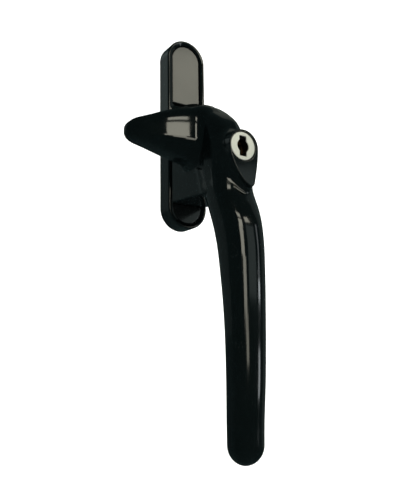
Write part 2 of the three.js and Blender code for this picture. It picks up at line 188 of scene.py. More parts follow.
def outline_distance(across: Array, up: Array, outline: Array) -> Array:
    """Gives the distance to a closed outline, negative inside it.

    Args:
        across: First coordinates.
        up: Second coordinates.
        outline: The outline's corners, in order.

    Returns:
        Distances in the outline's plane.
    """
    nearest = np.full(across.shape, np.inf)
    inside = np.zeros(across.shape, bool)
    for start, end in zip(outline, np.roll(outline, -1, axis=0)):
        edge = end - start
        dx = across - start[0]
        dy = up - start[1]
        along = np.clip((dx * edge[0] + dy * edge[1]) / (edge @ edge), 0, 1)
        nearest = np.minimum(nearest, np.hypot(dx - along * edge[0], dy - along * edge[1]))
        crosses = (start[1] > up) != (end[1] > up)
        if edge[1] != 0:
            inside ^= crosses & (dx < dy * edge[0] / edge[1])
    return np.where(inside, -nearest, nearest)


def within(points: Array, low: Sequence[float], high: Sequence[float], part: Field) -> Array:
    """Works a field out only near its part, which saves most of the time.

    Args:
        points: The places to test.
        low: The lowest corner of the box round the part.
        high: The highest corner of that box.
        part: The part's field.

    Returns:
        Distances, with a large value outside the box.
    """
    far = 20.0
    near = np.all((points > low) & (points < high), axis=1)
    distances = np.full(len(points), far)
    if near.any():
        distances[near] = part(points[near])
    return distances


def true_distance(shape: Field, points: Array) -> Array:
    """Turns a shape's own measure into a distance by dividing it by its slope.

    Args:
        shape: A measure that is zero on the surface and grows outwards.
        points: The places to test.

    Returns:
        Distances that are right near the surface.
    """
    step, least_slope = 0.02, 1e-3
    here = shape(points)
    slopes = [(shape(points + step * axis) - here) / step for axis in np.eye(3)]
    return here / np.maximum(np.sqrt(sum(slope**2 for slope in slopes)), least_slope)


@dataclass(frozen=True)
class Curve:
    """A smooth line through a few stations, read at any place along it.

    Attributes:
        stations: Rising places along the line.
        rows: The values at each station.
    """

    stations: Array
    rows: Array

    def at(self, place: Array) -> Array:
        """Gives the values at each place.

        Args:
            place: Places along the line.

        Returns:
            One row of values for each place.
        """
        slopes = np.gradient(self.rows, self.stations, axis=0)
        place = np.clip(place, self.stations[0], self.stations[-1])
        i = np.clip(np.searchsorted(self.stations, place) - 1, 0, len(self.stations) - 2)
        span = (self.stations[i + 1] - self.stations[i])[:, None]
        t = ((place - self.stations[i])[:, None]) / span
        start = self.rows[i] * (1 + 2 * t) * (1 - t) ** 2 + slopes[i] * span * t * (1 - t) ** 2
        end = self.rows[i + 1] * t**2 * (3 - 2 * t) + slopes[i + 1] * span * t**2 * (t - 1)
        return start + end


def curve(table: Sequence[Sequence[float]], key: int) -> Curve:
    """Makes a curve from a table whose rows hold the place in one column.

    Args:
        table: The rows of numbers.
        key: Which column holds the place along the line.

    Returns:
        The curve, with the other columns as its values.
    """
    rows = np.array(sorted(table, key=lambda row: row[key]), float)
    return Curve(rows[:, key], np.delete(rows, key, axis=1))


# ---- Turning a field into a smooth mesh --------------------------------------------------

PLANES_AT_ONCE = 12  # how many of a lattice's level planes are read together
SPARE_PLANES = 4  # how many planes lie past a part's box
SETTLING_ROUNDS = 4  # how often the corners are drawn on to the surface
SETTLING_REACH = 0.4  # how far one round may move a corner, as a share of the spacing
LEAST_STEEPNESS = 0.05  # the least squared slope that a corner's move is worked out with
TINY = 1e-9  # keeps a length that is divided by above zero


@dataclass(frozen=True)
class Lattice:
    """The three sets of planes that a field is read on.

    Attributes:
        x: Where the planes across X lie.
        y: Where the planes across Y lie.
        z: Where the planes across Z lie.
    """

    x: Array
    y: Array
    z: Array

    def read(self, solid: Field) -> Array:
        """Gives the field's value at every crossing.

        Args:
            solid: The field.

        Returns:
            A block of values.
        """
        layers = []
        flat_x, flat_y = (side.ravel() for side in np.meshgrid(self.x, self.y, indexing="ij"))
        for height in np.array_split(self.z, max(1, len(self.z) // PLANES_AT_ONCE)):
            x, z = np.repeat(flat_x, len(height)), np.tile(height, len(flat_x))
            points = np.column_stack([x, np.repeat(flat_y, len(height)), z])
            values = solid(points)
            layers.append(values.reshape(len(self.x), len(self.y), len(height)))
        return np.concatenate(layers, axis=2)


def spaced(low: float, high: float, step: float) -> Array:
    """Gives evenly spaced planes from just under low to just over high."""
    count = int(math.ceil((high - low) / step)) + SPARE_PLANES
    middle = (low + high) / 2
    return middle + (np.arange(count) - (count - 1) / 2) * step


@dataclass
class Skin:
    """A mesh on its way to Blender.

    Attributes:
        corners: One row for each corner, in millimetres.
        faces: Four corner numbers for each face.
        normals: One outward direction for each corner.
    """

    corners: Array
    faces: Array
    normals: Array


def crossing_points(values: Array, planes: tuple[Array, ...], cells: Array) -> Array:
    """Places one corner in each cell that the surface passes through.

    Args:
        values: The field on the lattice.
        planes: The lattice's planes along each axis.
        cells: The cells that the surface passes through.

    Returns:
        The mean of the places where the surface crosses each cell's edges.
    """
    total = np.zeros((len(cells), 3))
    hits = np.zeros(len(cells))
    for axis in range(3):
        first, second = (axis + 1) % 3, (axis + 2) % 3
        for shift in ((0, 0), (0, 1), (1, 0), (1, 1)):
            start = cells.copy()
            start[:, first] += shift[0]
            start[:, second] += shift[1]
            end = start.copy()
            end[:, axis] += 1
            a, b = values[tuple(start.T)], values[tuple(end.T)]
            crossed = (a < 0) != (b < 0)
            spot = np.column_stack([planes[m][start[:, m]] for m in range(3)])
            width = planes[axis][end[:, axis]] - planes[axis][start[:, axis]]
            share = np.divide(a, a - b, out=np.zeros_like(a), where=crossed)
            spot[:, axis] += share * width
            total[crossed] += spot[crossed]
            hits[crossed] += 1
    return total / hits[:, None]


def crossing_faces(inside: Array, number: Array) -> Array:
    """Joins the corners of neighbouring cells into faces that point outwards.

    Args:
        inside: Which lattice points are inside the solid.
        number: The corner's number in each cell, or -1.

    Returns:
        Four corners for each face.
    """
    faces = []
    for axis in range(3):
        first, second = (axis + 1) % 3, (axis + 2) % 3
        low = np.take(inside, range(inside.shape[axis] - 1), axis=axis)
        high = np.take(inside, range(1, inside.shape[axis]), axis=axis)
        edges = np.argwhere(low != high)
        keep = np.ones(len(edges), bool)
        for other in (first, second):
            keep &= (edges[:, other] > 0) & (edges[:, other] < inside.shape[other] - 1)
        edges = edges[keep]
        ring = []
        for shift in ((1, 1), (0, 1), (0, 0), (1, 0)):
            cell = edges.copy()
            cell[:, first] -= shift[0]
            cell[:, second] -= shift[1]
            ring.append(number[tuple(cell.T)])
        quads = np.column_stack(ring)
        flip = ~low[tuple(edges.T)]
        quads[flip] = quads[flip][:, ::-1]
        faces.append(quads)
    return np.concatenate(faces)


def field_slope(solid: Field, points: Array) -> Array:
    """Gives the field's direction of growth at each point."""
    step = 0.015
    return np.column_stack(
        [(solid(points + step * axis) - solid(points - step * axis)) / (2 * step)
         for axis in np.eye(3)]
    )


def skin_of(solid: Field, lattice: Lattice) -> Skin:
    """Wraps a smooth mesh round a solid field.

    Args:
        solid: The field.
        lattice: The planes to read it on.

    Returns:
        The mesh, with its corners on the surface and its normals from the field.
    """
    planes = (lattice.x, lattice.y, lattice.z)
    values = lattice.read(solid)
    inside = values < 0
    sizes = [length - 1 for length in values.shape]
    count = np.zeros(sizes, np.int8)
    for i, j, k in np.ndindex(2, 2, 2):
        count += inside[i : i + sizes[0], j : j + sizes[1], k : k + sizes[2]]
    mixed = (count > 0) & (count < 8)
    cells = np.argwhere(mixed)
    number = np.full(mixed.shape, -1, np.int64)
    number[mixed] = np.arange(len(cells))
    corners = crossing_points(values, planes, cells)
    reach = SETTLING_REACH * min(float(np.diff(plane).min()) for plane in planes)
    for _ in range(SETTLING_ROUNDS):
        slope = field_slope(solid, corners)
        steep = np.maximum((slope**2).sum(axis=1), LEAST_STEEPNESS)
        move = (solid(corners) / steep)[:, None] * slope
        length = np.maximum(np.linalg.norm(move, axis=1), TINY)
        corners -= move * np.minimum(1, reach / length)[:, None]
    slope = field_slope(solid, corners)
    normals = slope / np.maximum(np.linalg.norm(slope, axis=1), TINY)[:, None]
    return Skin(corners, crossing_faces(inside, number), normals)


def make_piece(name: str, skin: Skin, material: bpy.types.Material) -> bpy.types.Object:
    """Makes a smooth Blender object from a skin.

    Args:
        name: The piece's name.
        skin: Its mesh in millimetres.
        material: Its finish.

    Returns:
        The object, at the origin.
    """
    mesh = bpy.data.meshes.new(name)
    mesh.from_pydata((skin.corners * MM).tolist(), [], skin.faces.tolist())
    mesh.polygons.foreach_set("use_smooth", np.ones(len(mesh.polygons), bool))
    mesh.normals_split_custom_set_from_vertices(skin.normals.tolist())
    mesh.materials.append(material)
    piece = bpy.data.objects.new(name, mesh)
    bpy.context.scene.collection.objects.link(piece)
    LOG.info("%s: %d corners, %d faces", name, len(mesh.vertices), len(mesh.polygons))
    return piece


# ---- Finishes ----------------------------------------------------------------------------

# A Mix node's value and colour sockets share their names, so they are found by place.
MIX_VALUES = (2, 3)
MIX_COLOURS = (6, 7)
MIX_VALUE_OUT = 0
MIX_COLOUR_OUT = 2

DUST: Colour = (0.3, 0.3, 0.28)
# Painted shade: a near-black colour laid inside the key way as if it lay in shadow; it also stands for grease
# there.
KEYWAY_SHADE_AND_GREASE: Colour = (0.006, 0.005, 0.004)


class Slot(Enum):
    """The record's material slots."""

    ENAMEL = "black_enamel"
    PLASTIC = "black_plastic"
    NYLON = "nylon"
    SPRING = "spring_steel"
    STEEL = "steel"
    ZINC = "cast_zinc"
    BRASS_DARKENED_AS_SHADE = "brass"


def new_group(name: str, inputs: dict[str, float],
              outputs: dict[str, str]) -> bpy.types.ShaderNodeTree:
    """Starts a shader node group with named float inputs and its outputs.

    Args:
        name: The group's name.
        inputs: Input names and their default values.
        outputs: Output names and their socket types.

    Returns:
        The node tree, with its input and output nodes in place.
    """
    tree = bpy.data.node_groups.new(name, "ShaderNodeTree")
    for label, default in inputs.items():
        socket = tree.interface.new_socket(label, in_out="INPUT", socket_type="NodeSocketFloat")
        socket.default_value = default
    for label, kind in outputs.items():
        tree.interface.new_socket(label, in_out="OUTPUT", socket_type=kind)
    tree.nodes.new("NodeGroupInput")
    tree.nodes.new("NodeGroupOutput")
    return tree


@dataclass
class Wiring:
    """Short ways to place and join nodes in one tree."""

    tree: bpy.types.NodeTree

    def add(self, kind: str, **settings: object) -> bpy.types.Node:
        """Places a node and sets its properties."""
        node = self.tree.nodes.new(kind)
        for name, value in settings.items():
            setattr(node, name, value)
        return node

    def join(self, source: bpy.types.NodeSocket, target: bpy.types.NodeSocket) -> None:
        """Links one socket to another."""
        self.tree.links.new(source, target)

    def noise(self, place: bpy.types.NodeSocket, scale: float, detail: float = 3) -> bpy.types.Node:
        """Places a noise texture that reads a place.

        Args:
            place: The coordinates.
            scale: Features per metre.
            detail: How many finer layers it adds.

        Returns:
            The noise node.
        """
        node = self.add("ShaderNodeTexNoise")
        node.inputs["Scale"].default_value = scale
        node.inputs["Detail"].default_value = detail
        self.join(place, node.inputs["Vector"])
        return node

    def over(self, mix: bpy.types.Node, mask: bpy.types.NodeSocket,
             colour: Colour) -> bpy.types.NodeSocket:
        """Lays a colour over the first one of a Mix node, where a mask says.

        Args:
            mix: The Mix node, which has its first colour.
            mask: How much of the colour shows.
            colour: The colour.

        Returns:
            The mixed colour.
        """
        mix.inputs[MIX_COLOURS[1]].default_value = (*colour, 1)
        self.join(mask, mix.inputs["Factor"])
        return mix.outputs[MIX_COLOUR_OUT]

    def span(self, value: bpy.types.NodeSocket, low: float, high: float,
             to_low: float, to_high: float) -> bpy.types.Node:
        """Stretches a value from one range to another and keeps it inside.

        Args:
            value: The value.
            low: The value that becomes to_low.
            high: The value that becomes to_high.
            to_low: The first result.
            to_high: The last result.

        Returns:
            The Map Range node.
        """
        node = self.add("ShaderNodeMapRange")
        for index, number in enumerate((low, high, to_low, to_high), start=1):
            node.inputs[index].default_value = number
        self.join(value, node.inputs[0])
        return node


def ripple_group() -> bpy.types.ShaderNodeTree:
    """Makes the slow ripple and fine grain that paint, plastic and castings have.

    Returns:
        A group that gives a height for a Bump node.
    """
    names = {"Ripple Scale": 250.0, "Grain Scale": 3000.0, "Grain Share": 0.2}
    tree = new_group("surface_ripple", names, {"Height": "NodeSocketFloat"})
    wiring = Wiring(tree)
    given, result = tree.nodes["Group Input"], tree.nodes["Group Output"]
    place = wiring.add("ShaderNodeTexCoord").outputs["Object"]
    slow = wiring.noise(place, names["Ripple Scale"], 1)
    fine = wiring.noise(place, names["Grain Scale"], 2)
    wiring.join(given.outputs["Ripple Scale"], slow.inputs["Scale"])
    wiring.join(given.outputs["Grain Scale"], fine.inputs["Scale"])
    mix = wiring.add("ShaderNodeMix", data_type="FLOAT")
    wiring.join(given.outputs["Grain Share"], mix.inputs["Factor"])
    for layer, socket in zip((slow, fine), MIX_VALUES):
        wiring.join(layer.outputs["Fac"], mix.inputs[socket])
    wiring.join(mix.outputs[MIX_VALUE_OUT], result.inputs["Height"])
    return tree


def dust_group() -> bpy.types.ShaderNodeTree:
    """Makes the faint specks and dull patches of a handled surface.

    Returns:
        A group that gives a speck mask and a patch mask, each from 0 to 1.
    """
    names = {"Speck Scale": 900.0, "Speck Share": 0.3, "Patch Scale": 40.0}
    outputs = {"Specks": "NodeSocketFloat", "Patches": "NodeSocketFloat"}
    tree = new_group("dust_and_dull_patches", names, outputs)
    dot_edge, thinning, patch_edge = (0.05, 0.16), (0.58, 0.66), (0.35, 0.65)
    clusters_per_metre = 90
    wiring = Wiring(tree)
    given, result = tree.nodes["Group Input"], tree.nodes["Group Output"]
    place = wiring.add("ShaderNodeTexCoord").outputs["Object"]
    cells = wiring.add("ShaderNodeTexVoronoi")
    wiring.join(place, cells.inputs["Vector"])
    wiring.join(given.outputs["Speck Scale"], cells.inputs["Scale"])
    dots = wiring.span(cells.outputs["Distance"], *dot_edge, 1, 0)
    sparse = wiring.noise(place, clusters_per_metre, 2)
    chosen = wiring.span(sparse.outputs["Fac"], *thinning, 0, 1)
    both = wiring.add("ShaderNodeMath", operation="MULTIPLY")
    wiring.join(dots.outputs[0], both.inputs[0])
    wiring.join(chosen.outputs[0], both.inputs[1])
    some = wiring.add("ShaderNodeMath", operation="MULTIPLY")
    wiring.join(both.outputs[0], some.inputs[0])
    wiring.join(given.outputs["Speck Share"], some.inputs[1])
    wiring.join(some.outputs[0], result.inputs["Specks"])
    broad = wiring.noise(place, names["Patch Scale"], 4)
    wiring.join(given.outputs["Patch Scale"], broad.inputs["Scale"])
    soft = wiring.span(broad.outputs["Fac"], *patch_edge, 0, 1)
    wiring.join(soft.outputs[0], result.inputs["Patches"])
    return tree


def keyway_shade_and_grease_group() -> bpy.types.ShaderNodeTree:
    """Makes painted shade, dark as if in shadow, for the holes in a worn face; it also stands for the grease
    there.

    Returns:
        A group that gives a mask: 0 in front of a depth, and 1 behind it.
    """
    tree = new_group("keyway_shade_and_grease", {"Shade Starts": -0.05, "Fade": 0.0004},
                     {"Shade And Grease": "NodeSocketFloat"})
    wiring = Wiring(tree)
    given, result = tree.nodes["Group Input"], tree.nodes["Group Output"]
    place = wiring.add("ShaderNodeTexCoord").outputs["Object"]
    parts = wiring.add("ShaderNodeSeparateXYZ")
    wiring.join(place, parts.inputs["Vector"])
    end = wiring.add("ShaderNodeMath", operation="ADD")
    wiring.join(given.outputs["Shade Starts"], end.inputs[0])
    wiring.join(given.outputs["Fade"], end.inputs[1])
    fade = wiring.span(parts.outputs["Y"], 0, 1, 0, 1)
    wiring.join(given.outputs["Shade Starts"], fade.inputs[1])
    wiring.join(end.outputs[0], fade.inputs[2])
    wiring.join(fade.outputs[0], result.inputs["Shade And Grease"])
    return tree


@dataclass(frozen=True)
class Finish:
    """How one finish looks, with the sizes of its surface detail.

    Attributes:
        slot: The record's material slot.
        colour: The main colour.
        second: The colour that dull patches drift towards.
        roughness: The least and the greatest roughness over the surface.
        metallic: 1 for bare metal, 0 for paint and plastic.
        ripple: Features per metre of the slow ripple.
        grain: Features per metre of the fine grain.
        grain_share: How much of the bump is grain.
        bump: The bump's height in millimetres.
        specks: How strongly specks show.
        keyway_shade_depth: The depth from the wall, in millimetres, behind which painted shade, standing also for
            grease, darkens the finish as if in shadow; 0 leaves it unshaded everywhere.
    """

    slot: Slot
    colour: Colour
    second: Colour
    roughness: tuple[float, float]
    metallic: float
    ripple: float
    grain: float
    grain_share: float
    bump: float
    specks: float = 0.0
    keyway_shade_depth: float = 0.0

    def material(self, groups: dict[str, bpy.types.ShaderNodeTree]) -> bpy.types.Material:
        """Makes the finish's material.

        Args:
            groups: The shared shader groups.

        Returns:
            The material.
        """
        made = bpy.data.materials.new(self.slot.value)
        made.use_nodes = True
        made.node_tree.nodes.clear()
        wiring = Wiring(made.node_tree)
        shader = wiring.add("ShaderNodeBsdfPrincipled")
        output = wiring.add("ShaderNodeOutputMaterial")
        wiring.join(shader.outputs["BSDF"], output.inputs["Surface"])
        shader.inputs["Metallic"].default_value = self.metallic
        dust = wiring.add("ShaderNodeGroup", node_tree=groups["dust"])
        dust.inputs["Speck Share"].default_value = self.specks
        first, _ = MIX_COLOURS
        tone = wiring.add("ShaderNodeMix", data_type="RGBA")
        tone.inputs[first].default_value = (*self.colour, 1)
        shade = wiring.over(tone, dust.outputs["Patches"], self.second)
        specked = wiring.add("ShaderNodeMix", data_type="RGBA")
        wiring.join(shade, specked.inputs[first])
        shade = wiring.over(specked, dust.outputs["Specks"], DUST)
        # Painted shade: behind the given depth the colour turns nearly black, as if in shadow; it also stands for
        # grease.
        if self.keyway_shade_depth:
            keyway_shade = wiring.add("ShaderNodeGroup", node_tree=groups["shade_and_grease"])
            keyway_shade.inputs["Shade Starts"].default_value = -self.keyway_shade_depth * MM
            darkened = wiring.add("ShaderNodeMix", data_type="RGBA")
            wiring.join(shade, darkened.inputs[first])
            shade = wiring.over(darkened, keyway_shade.outputs["Shade And Grease"], KEYWAY_SHADE_AND_GREASE)
        wiring.join(shade, shader.inputs["Base Color"])
        dull = wiring.span(dust.outputs["Patches"], 0, 1, *self.roughness)
        wiring.join(dull.outputs[0], shader.inputs["Roughness"])
        ripple = wiring.add("ShaderNodeGroup", node_tree=groups["ripple"])
        ripple.inputs["Ripple Scale"].default_value = self.ripple
        ripple.inputs["Grain Scale"].default_value = self.grain
        ripple.inputs["Grain Share"].default_value = self.grain_share
        bump = wiring.add("ShaderNodeBump")
        bump.inputs["Distance"].default_value = self.bump * MM
        wiring.join(ripple.outputs["Height"], bump.inputs["Height"])
        wiring.join(bump.outputs["Normal"], shader.inputs["Normal"])
        return made


FINISHES = (
    Finish(Slot.ENAMEL, (0.0012, 0.0024, 0.0026), (0.002, 0.0034, 0.0036), (0.05, 0.11), 0,
           90, 2200, 0.05, 0.01, specks=0.1),
    Finish(Slot.PLASTIC, (0.003, 0.004, 0.004), (0.005, 0.006, 0.006), (0.14, 0.2), 0,
           160, 2500, 0.3, 0.018, specks=0.15),
    Finish(Slot.NYLON, (0.7, 0.68, 0.6), (0.62, 0.6, 0.52), (0.4, 0.6), 0, 300, 4000, 0.5, 0.02),
    Finish(Slot.SPRING, (0.36, 0.37, 0.38), (0.26, 0.26, 0.27), (0.25, 0.45), 1,
           600, 9000, 0.7, 0.004),
    Finish(Slot.STEEL, (0.55, 0.56, 0.58), (0.42, 0.42, 0.43), (0.22, 0.4), 1,
           400, 7000, 0.6, 0.004),
    # The zinc gets painted shade behind 51.4 mm from the wall, inside the key way, which also stands for grease.
    Finish(Slot.ZINC, (0.72, 0.72, 0.64), (0.58, 0.58, 0.52), (0.32, 0.46), 0.25,
           700, 6000, 0.6, 0.012, specks=0.2, keyway_shade_depth=51.4),
    # Painted shade: the brass is given a far darker colour than bare brass, because the wafers deep in the key way
    # lie in shadow.
    Finish(Slot.BRASS_DARKENED_AS_SHADE, (0.1, 0.055, 0.025), (0.06, 0.035, 0.018), (0.3, 0.5), 1,
           500, 8000, 0.6, 0.006),
)


# ---- The handle casting ------------------------------------------------------------------


@dataclass(frozen=True)
class CastingBores:
    """The bores and pockets inside the casting.

    Attributes:
        barrel: The lock barrel's bore: radius, and its floor's depth.
        cam: The cam's room: radius, its middle's depth, and half its length.
        spindle: The pivot spindle's bore: radius, and its floor's depth.
        ball: The detent ball's bore: how far above the pivot, radius, and its floor's depth.
        pin: The spindle pin's upright hole: radius, depth, and its foot's height.
        cross_pin: The barrel pin's hole: radius, height, depth, and its left end.
        guide: The bolt guide's slot: its middle's height, corner radius, and its floor's depth.
        guide_half: Half the slot's width and height.
    """

    barrel: tuple[float, float] = (6.05, 35.8)
    cam: tuple[float, float, float] = (5.1, 33, 3.2)
    spindle: tuple[float, float] = (3.65, 27.9)
    ball: tuple[float, float, float] = (7.6, 1.35, 16.7)
    pin: tuple[float, float, float] = (0.9, 25.8, -20.9)
    cross_pin: tuple[float, float, float, float] = (0.9, -26.1, 42, -6.2)
    guide: tuple[float, float, float] = (-26.6, 0.4, 31.4)
    guide_half: tuple[float, float] = (2.2, 4.3)

    def distance(self, points: Array, lock: Array, pivot: Array) -> Array:
        """Gives the distance to the bores, all of them joined.

        Args:
            points: The places to test.
            lock: The lock's place.
            pivot: The pivot's place.

        Returns:
            Distances, negative inside a bore.
        """
        x, depth, z = points[:, 0], -points[:, 1], points[:, 2]
        from_lock = np.hypot(x - lock[0], z - lock[2])
        from_pivot = np.hypot(x - pivot[0], z - pivot[2])
        barrel, barrel_floor = self.barrel
        cam, cam_middle, cam_half = self.cam
        spindle, spindle_floor = self.spindle
        orbit, ball, ball_floor = self.ball
        pin, pin_depth, pin_foot = self.pin
        cross, cross_height, cross_depth, cross_left = self.cross_pin
        guide_middle, guide_corner, guide_floor = self.guide
        guide = box_distance(x, z - guide_middle, self.guide_half, guide_corner)
        return np.minimum.reduce([
            np.maximum(from_lock - barrel, barrel_floor - depth),
            np.maximum(from_lock - cam, np.abs(depth - cam_middle) - cam_half),
            np.maximum(from_pivot - spindle, depth - spindle_floor),
            np.maximum(np.hypot(x, z - (pivot[2] + orbit)) - ball, depth - ball_floor),
            np.maximum(np.hypot(x, depth - pin_depth) - pin, pin_foot - z),
            np.maximum(np.hypot(z - cross_height, depth - cross_depth) - cross, cross_left - x),
            np.maximum(guide, depth - guide_floor),
        ])


@dataclass
class Casting:
    """The one-piece casting: hub, curved lever, wedge nose and leaf-shaped lock boss.

    Attributes:
        spine: Height, sideways place, depth of the widest line, half width, reach in front
            of the widest line, squareness, and reach behind it where the lever is free.
        nose: Sideways place, depth of the front, height of the middle, and half height.
        nose_rear: The depth of the flat that bears on the keeper.
        nose_root: Where the nose starts inside the hub.
        nose_crease: The height where the nose's front turns in to its chin.
        nose_chin: How far the chin leans back from upright, in degrees.
        nose_cap: Where the round tip starts, and its length.
        nose_behind: How far the tapering shape goes on behind the flat rear.
        nose_power: How square the nose is across.
        nose_tip_power: How blunt its tip is.
        nose_edges: The edge radii of the chin and of the rear.
        hub_top: The height of the hub's flat top.
        hub_rear: The depth of the hub's rear face.
        hub_edges: The edge radii of the top, and of the underside and the rear.
        underside: The height of the hub's underside at its nearest to the plate.
        underside_from: The depth where that height is taken.
        underside_slope: How much the underside drops for each millimetre into the room.
        lever_start: The height of the lever's upper end inside the hub.
        lever_end: The height of its lower end.
        lever_cap: The length of its round end.
        lever_fillet: The largest fillet between the lever's back and the hub.
        boss_draft: How much the boss widens for each millimetre away from its face.
        boss_edge: The edge radius of its face.
        boss_root: The depth where it starts inside the hub.
        leaf_width: The radius of the leaf's round top.
        fillet: The fillet between the hub and its nose and boss.
        bore_edge: The edge radius of the bores.
        bores: The bores and pockets.
        hub_room: A box round the hub, as its lowest and highest corner.
        lever_room: A box round the lever.
        nose_room: A box round the nose.
        boss_room: A box round the boss.
        bore_room: A box round the bores.
        coarse: How much coarser than in full the mesh is.
        fine_step: The spacing of the mesh round the hub.
        fine_from: The height under which the mesh may be open along the lever.
        face: The depth of the key plug's face, and so of the boss's.
        lock: The lock's place.
        pivot: The pivot's place.
        leaf: The boss's outline.
        spine_curve: The spine, read at any height.
        nose_curve: The nose, read at any place along it.
    """

    spine: tuple[tuple[float, ...], ...] = (
        (8.6, 0, 7, 5.6, 10, 3.3, 9), (8.3, 0, 9.5, 7.4, 11, 3.3, 9),
        (7.4, 0, 12, 8.4, 12, 3.3, 9),
        (5.6, 0, 15.5, 9, 12.5, 3.3, 9), (3, 0, 19.3, 9, 12.7, 3.3, 9),
        (0, 0, 23, 9, 12.8, 3.3, 9), (-4, 0, 27.2, 9, 12.8, 3.3, 9),
        (-9, 0, 30.7, 9, 12.5, 3.3, 9), (-15, 0, 33.4, 9, 11.8, 3.2, 9),
        (-24, 0, 36.8, 9, 10.4, 3, 9), (-32, 0.2, 39.4, 9.2, 8.6, 2.9, 9),
        (-38, 0.6, 41, 9.7, 7.7, 2.8, 9), (-44, 1.2, 42.5, 9.7, 8.3, 2.8, 8.8),
        (-50, 1.8, 43.6, 9.3, 8.9, 2.8, 8.6), (-56, 2.3, 44.3, 9, 8.7, 2.8, 8.3),
        (-72, 2.8, 45.3, 8.5, 7.6, 2.8, 7.4),
        (-90, 2.95, 45.8, 8, 6.6, 2.8, 6.6), (-112, 2.8, 45.6, 7.5, 6.2, 2.8, 6.2),
        (-130, 2.5, 45, 7.1, 5.8, 2.8, 5.8), (-145, 2.4, 44.8, 6.9, 5.6, 2.8, 5.6),
    )
    nose: tuple[tuple[float, ...], ...] = (
        (-4, 34.6, -9.8, 13.4), (-9, 34.5, -9.9, 12.8), (-13, 34, -9.9, 11.8),
        (-18, 33, -9.9, 10.5), (-23, 31.6, -10, 8.9), (-28, 29.7, -10.2, 7.1),
        (-33, 27.6, -10.4, 5.5), (-40, 24.4, -10.8, 3.9),
    )
    nose_rear: float = 20.0
    nose_root: float = -2
    nose_crease: float = -14.2
    nose_chin: float = 25
    nose_cap: tuple[float, float] = (-32.8, 5.5)
    nose_behind: float = 1.8
    nose_power: float = 3.6
    nose_tip_power: float = 2.4
    nose_edges: tuple[float, float] = (0.6, 0.7)
    hub_top: float = 8.65
    hub_rear: float = 9.2
    hub_edges: tuple[float, float] = (1.2, 0.5)
    underside: float = -35.0
    underside_from: float = 8.3
    underside_slope: float = 0.079
    lever_start: float = -27
    lever_end: float = -144.1
    lever_cap: float = 7.5
    lever_fillet: float = 2.5
    boss_draft: float = 0.13
    boss_edge: float = 0.5
    boss_root: float = 38
    leaf_width: float = 7.1
    fillet: float = 2.8
    bore_edge: float = 0.2
    bores: CastingBores = CastingBores()
    hub_room: Room = ((-16, -60, -44), (16, 0, 14))
    lever_room: Room = ((-16, -60, -152), (18, -24, -20))
    nose_room: Room = ((-46, -42, -32), (4, -12, 12))
    boss_room: Room = ((-15, -58, -44), (14, -36, -6))
    bore_room: Room = ((-8, -60, -36), (12, 0, 12))
    coarse: float = 1.0
    fine_step: float = 0.4
    fine_from: float = -46.0
    face: float = field(init=False)
    lock: Array = field(init=False)
    pivot: Array = field(init=False)
    leaf: Array = field(init=False)
    spine_curve: Curve = field(init=False)
    nose_curve: Curve = field(init=False)

    def __post_init__(self) -> None:
        """Reads the lock's and the pivot's places from the frame."""
        self.face = -float(frame_box("lock_plug")[0][1])
        self.lock = joint_place("lock_turn")
        self.pivot = joint_place("handle_turn")
        self.leaf = self.leaf_outline()
        self.spine_curve = curve(self.spine, 0)
        self.nose_curve = curve(self.nose, 0)

    def leaf_outline(self) -> Array:
        """Draws the lock boss's outline: round above, drawn down to a blunt point.

        Returns:
            The outline's corners, measured from the lock's axis.
        """
        round_points, side_points, tip_points = 28, 16, 8
        aside, tip, tip_radius, tip_turn = 0.6, (3.6, -14.4), 2, (-2.3, -0.1)
        width = self.leaf_width
        top = np.linspace(0, math.pi, round_points)
        above = np.column_stack([aside + width * np.cos(top), width * np.sin(top)])
        left = bezier((-6.5, 0), (-6.5, -6), (-2, -13.5), (2.2, -15.9), side_points)
        turn = np.linspace(*tip_turn, tip_points)
        point = np.column_stack([tip[0] + tip_radius * np.cos(turn),
                                 tip[1] + tip_radius * np.sin(turn)])
        right = bezier((5.6, -14.6), (6.2, -12), (7.7, -5), (7.7, 0), side_points)
        return np.concatenate([above, left[1:], point[1:], right[1:-1]])

    def spine_shape(self, points: Array, hangs_free: bool) -> Array:
        """Measures the smooth front from the hub's top to the lever's end.

        Args:
            points: The places to test.
            hangs_free: Whether the back is round, as on the lever, or straight, as on the hub.

        Returns:
            A measure that is zero on the surface.
        """
        middle, widest, half, reach, power, behind = self.spine_curve.at(points[:, 2]).T
        ahead = -points[:, 1] - widest
        u = np.abs(points[:, 0] - middle) / half
        back = -ahead / behind if hangs_free else np.zeros(len(points))
        v = np.where(ahead > 0, ahead / reach, back)
        across = (u**power + np.abs(v) ** power) ** (1 / power)
        if not hangs_free:
            return across - 1
        past = np.maximum(0, self.lever_end + self.lever_cap - points[:, 2]) / self.lever_cap
        return np.hypot(across, past) - 1

    def hub(self, points: Array) -> Array:
        """Gives the distance to the hub, with its flat underside and round top edge."""
        sides = true_distance(lambda spots: self.spine_shape(spots, False), points)
        depth = -points[:, 1]
        top_edge, edge = self.hub_edges
        low = self.underside - self.underside_slope * (depth - self.underside_from)
        sides = round_common(sides, points[:, 2] - self.hub_top, top_edge)
        sides = round_common(sides, low - points[:, 2], edge)
        return round_common(sides, self.hub_rear - depth, edge)

    def lever(self, points: Array) -> Array:
        """Gives the distance to the free lever, which starts inside the hub."""
        body = true_distance(lambda spots: self.spine_shape(spots, True), points)
        return np.maximum(body, points[:, 2] - self.lever_start)

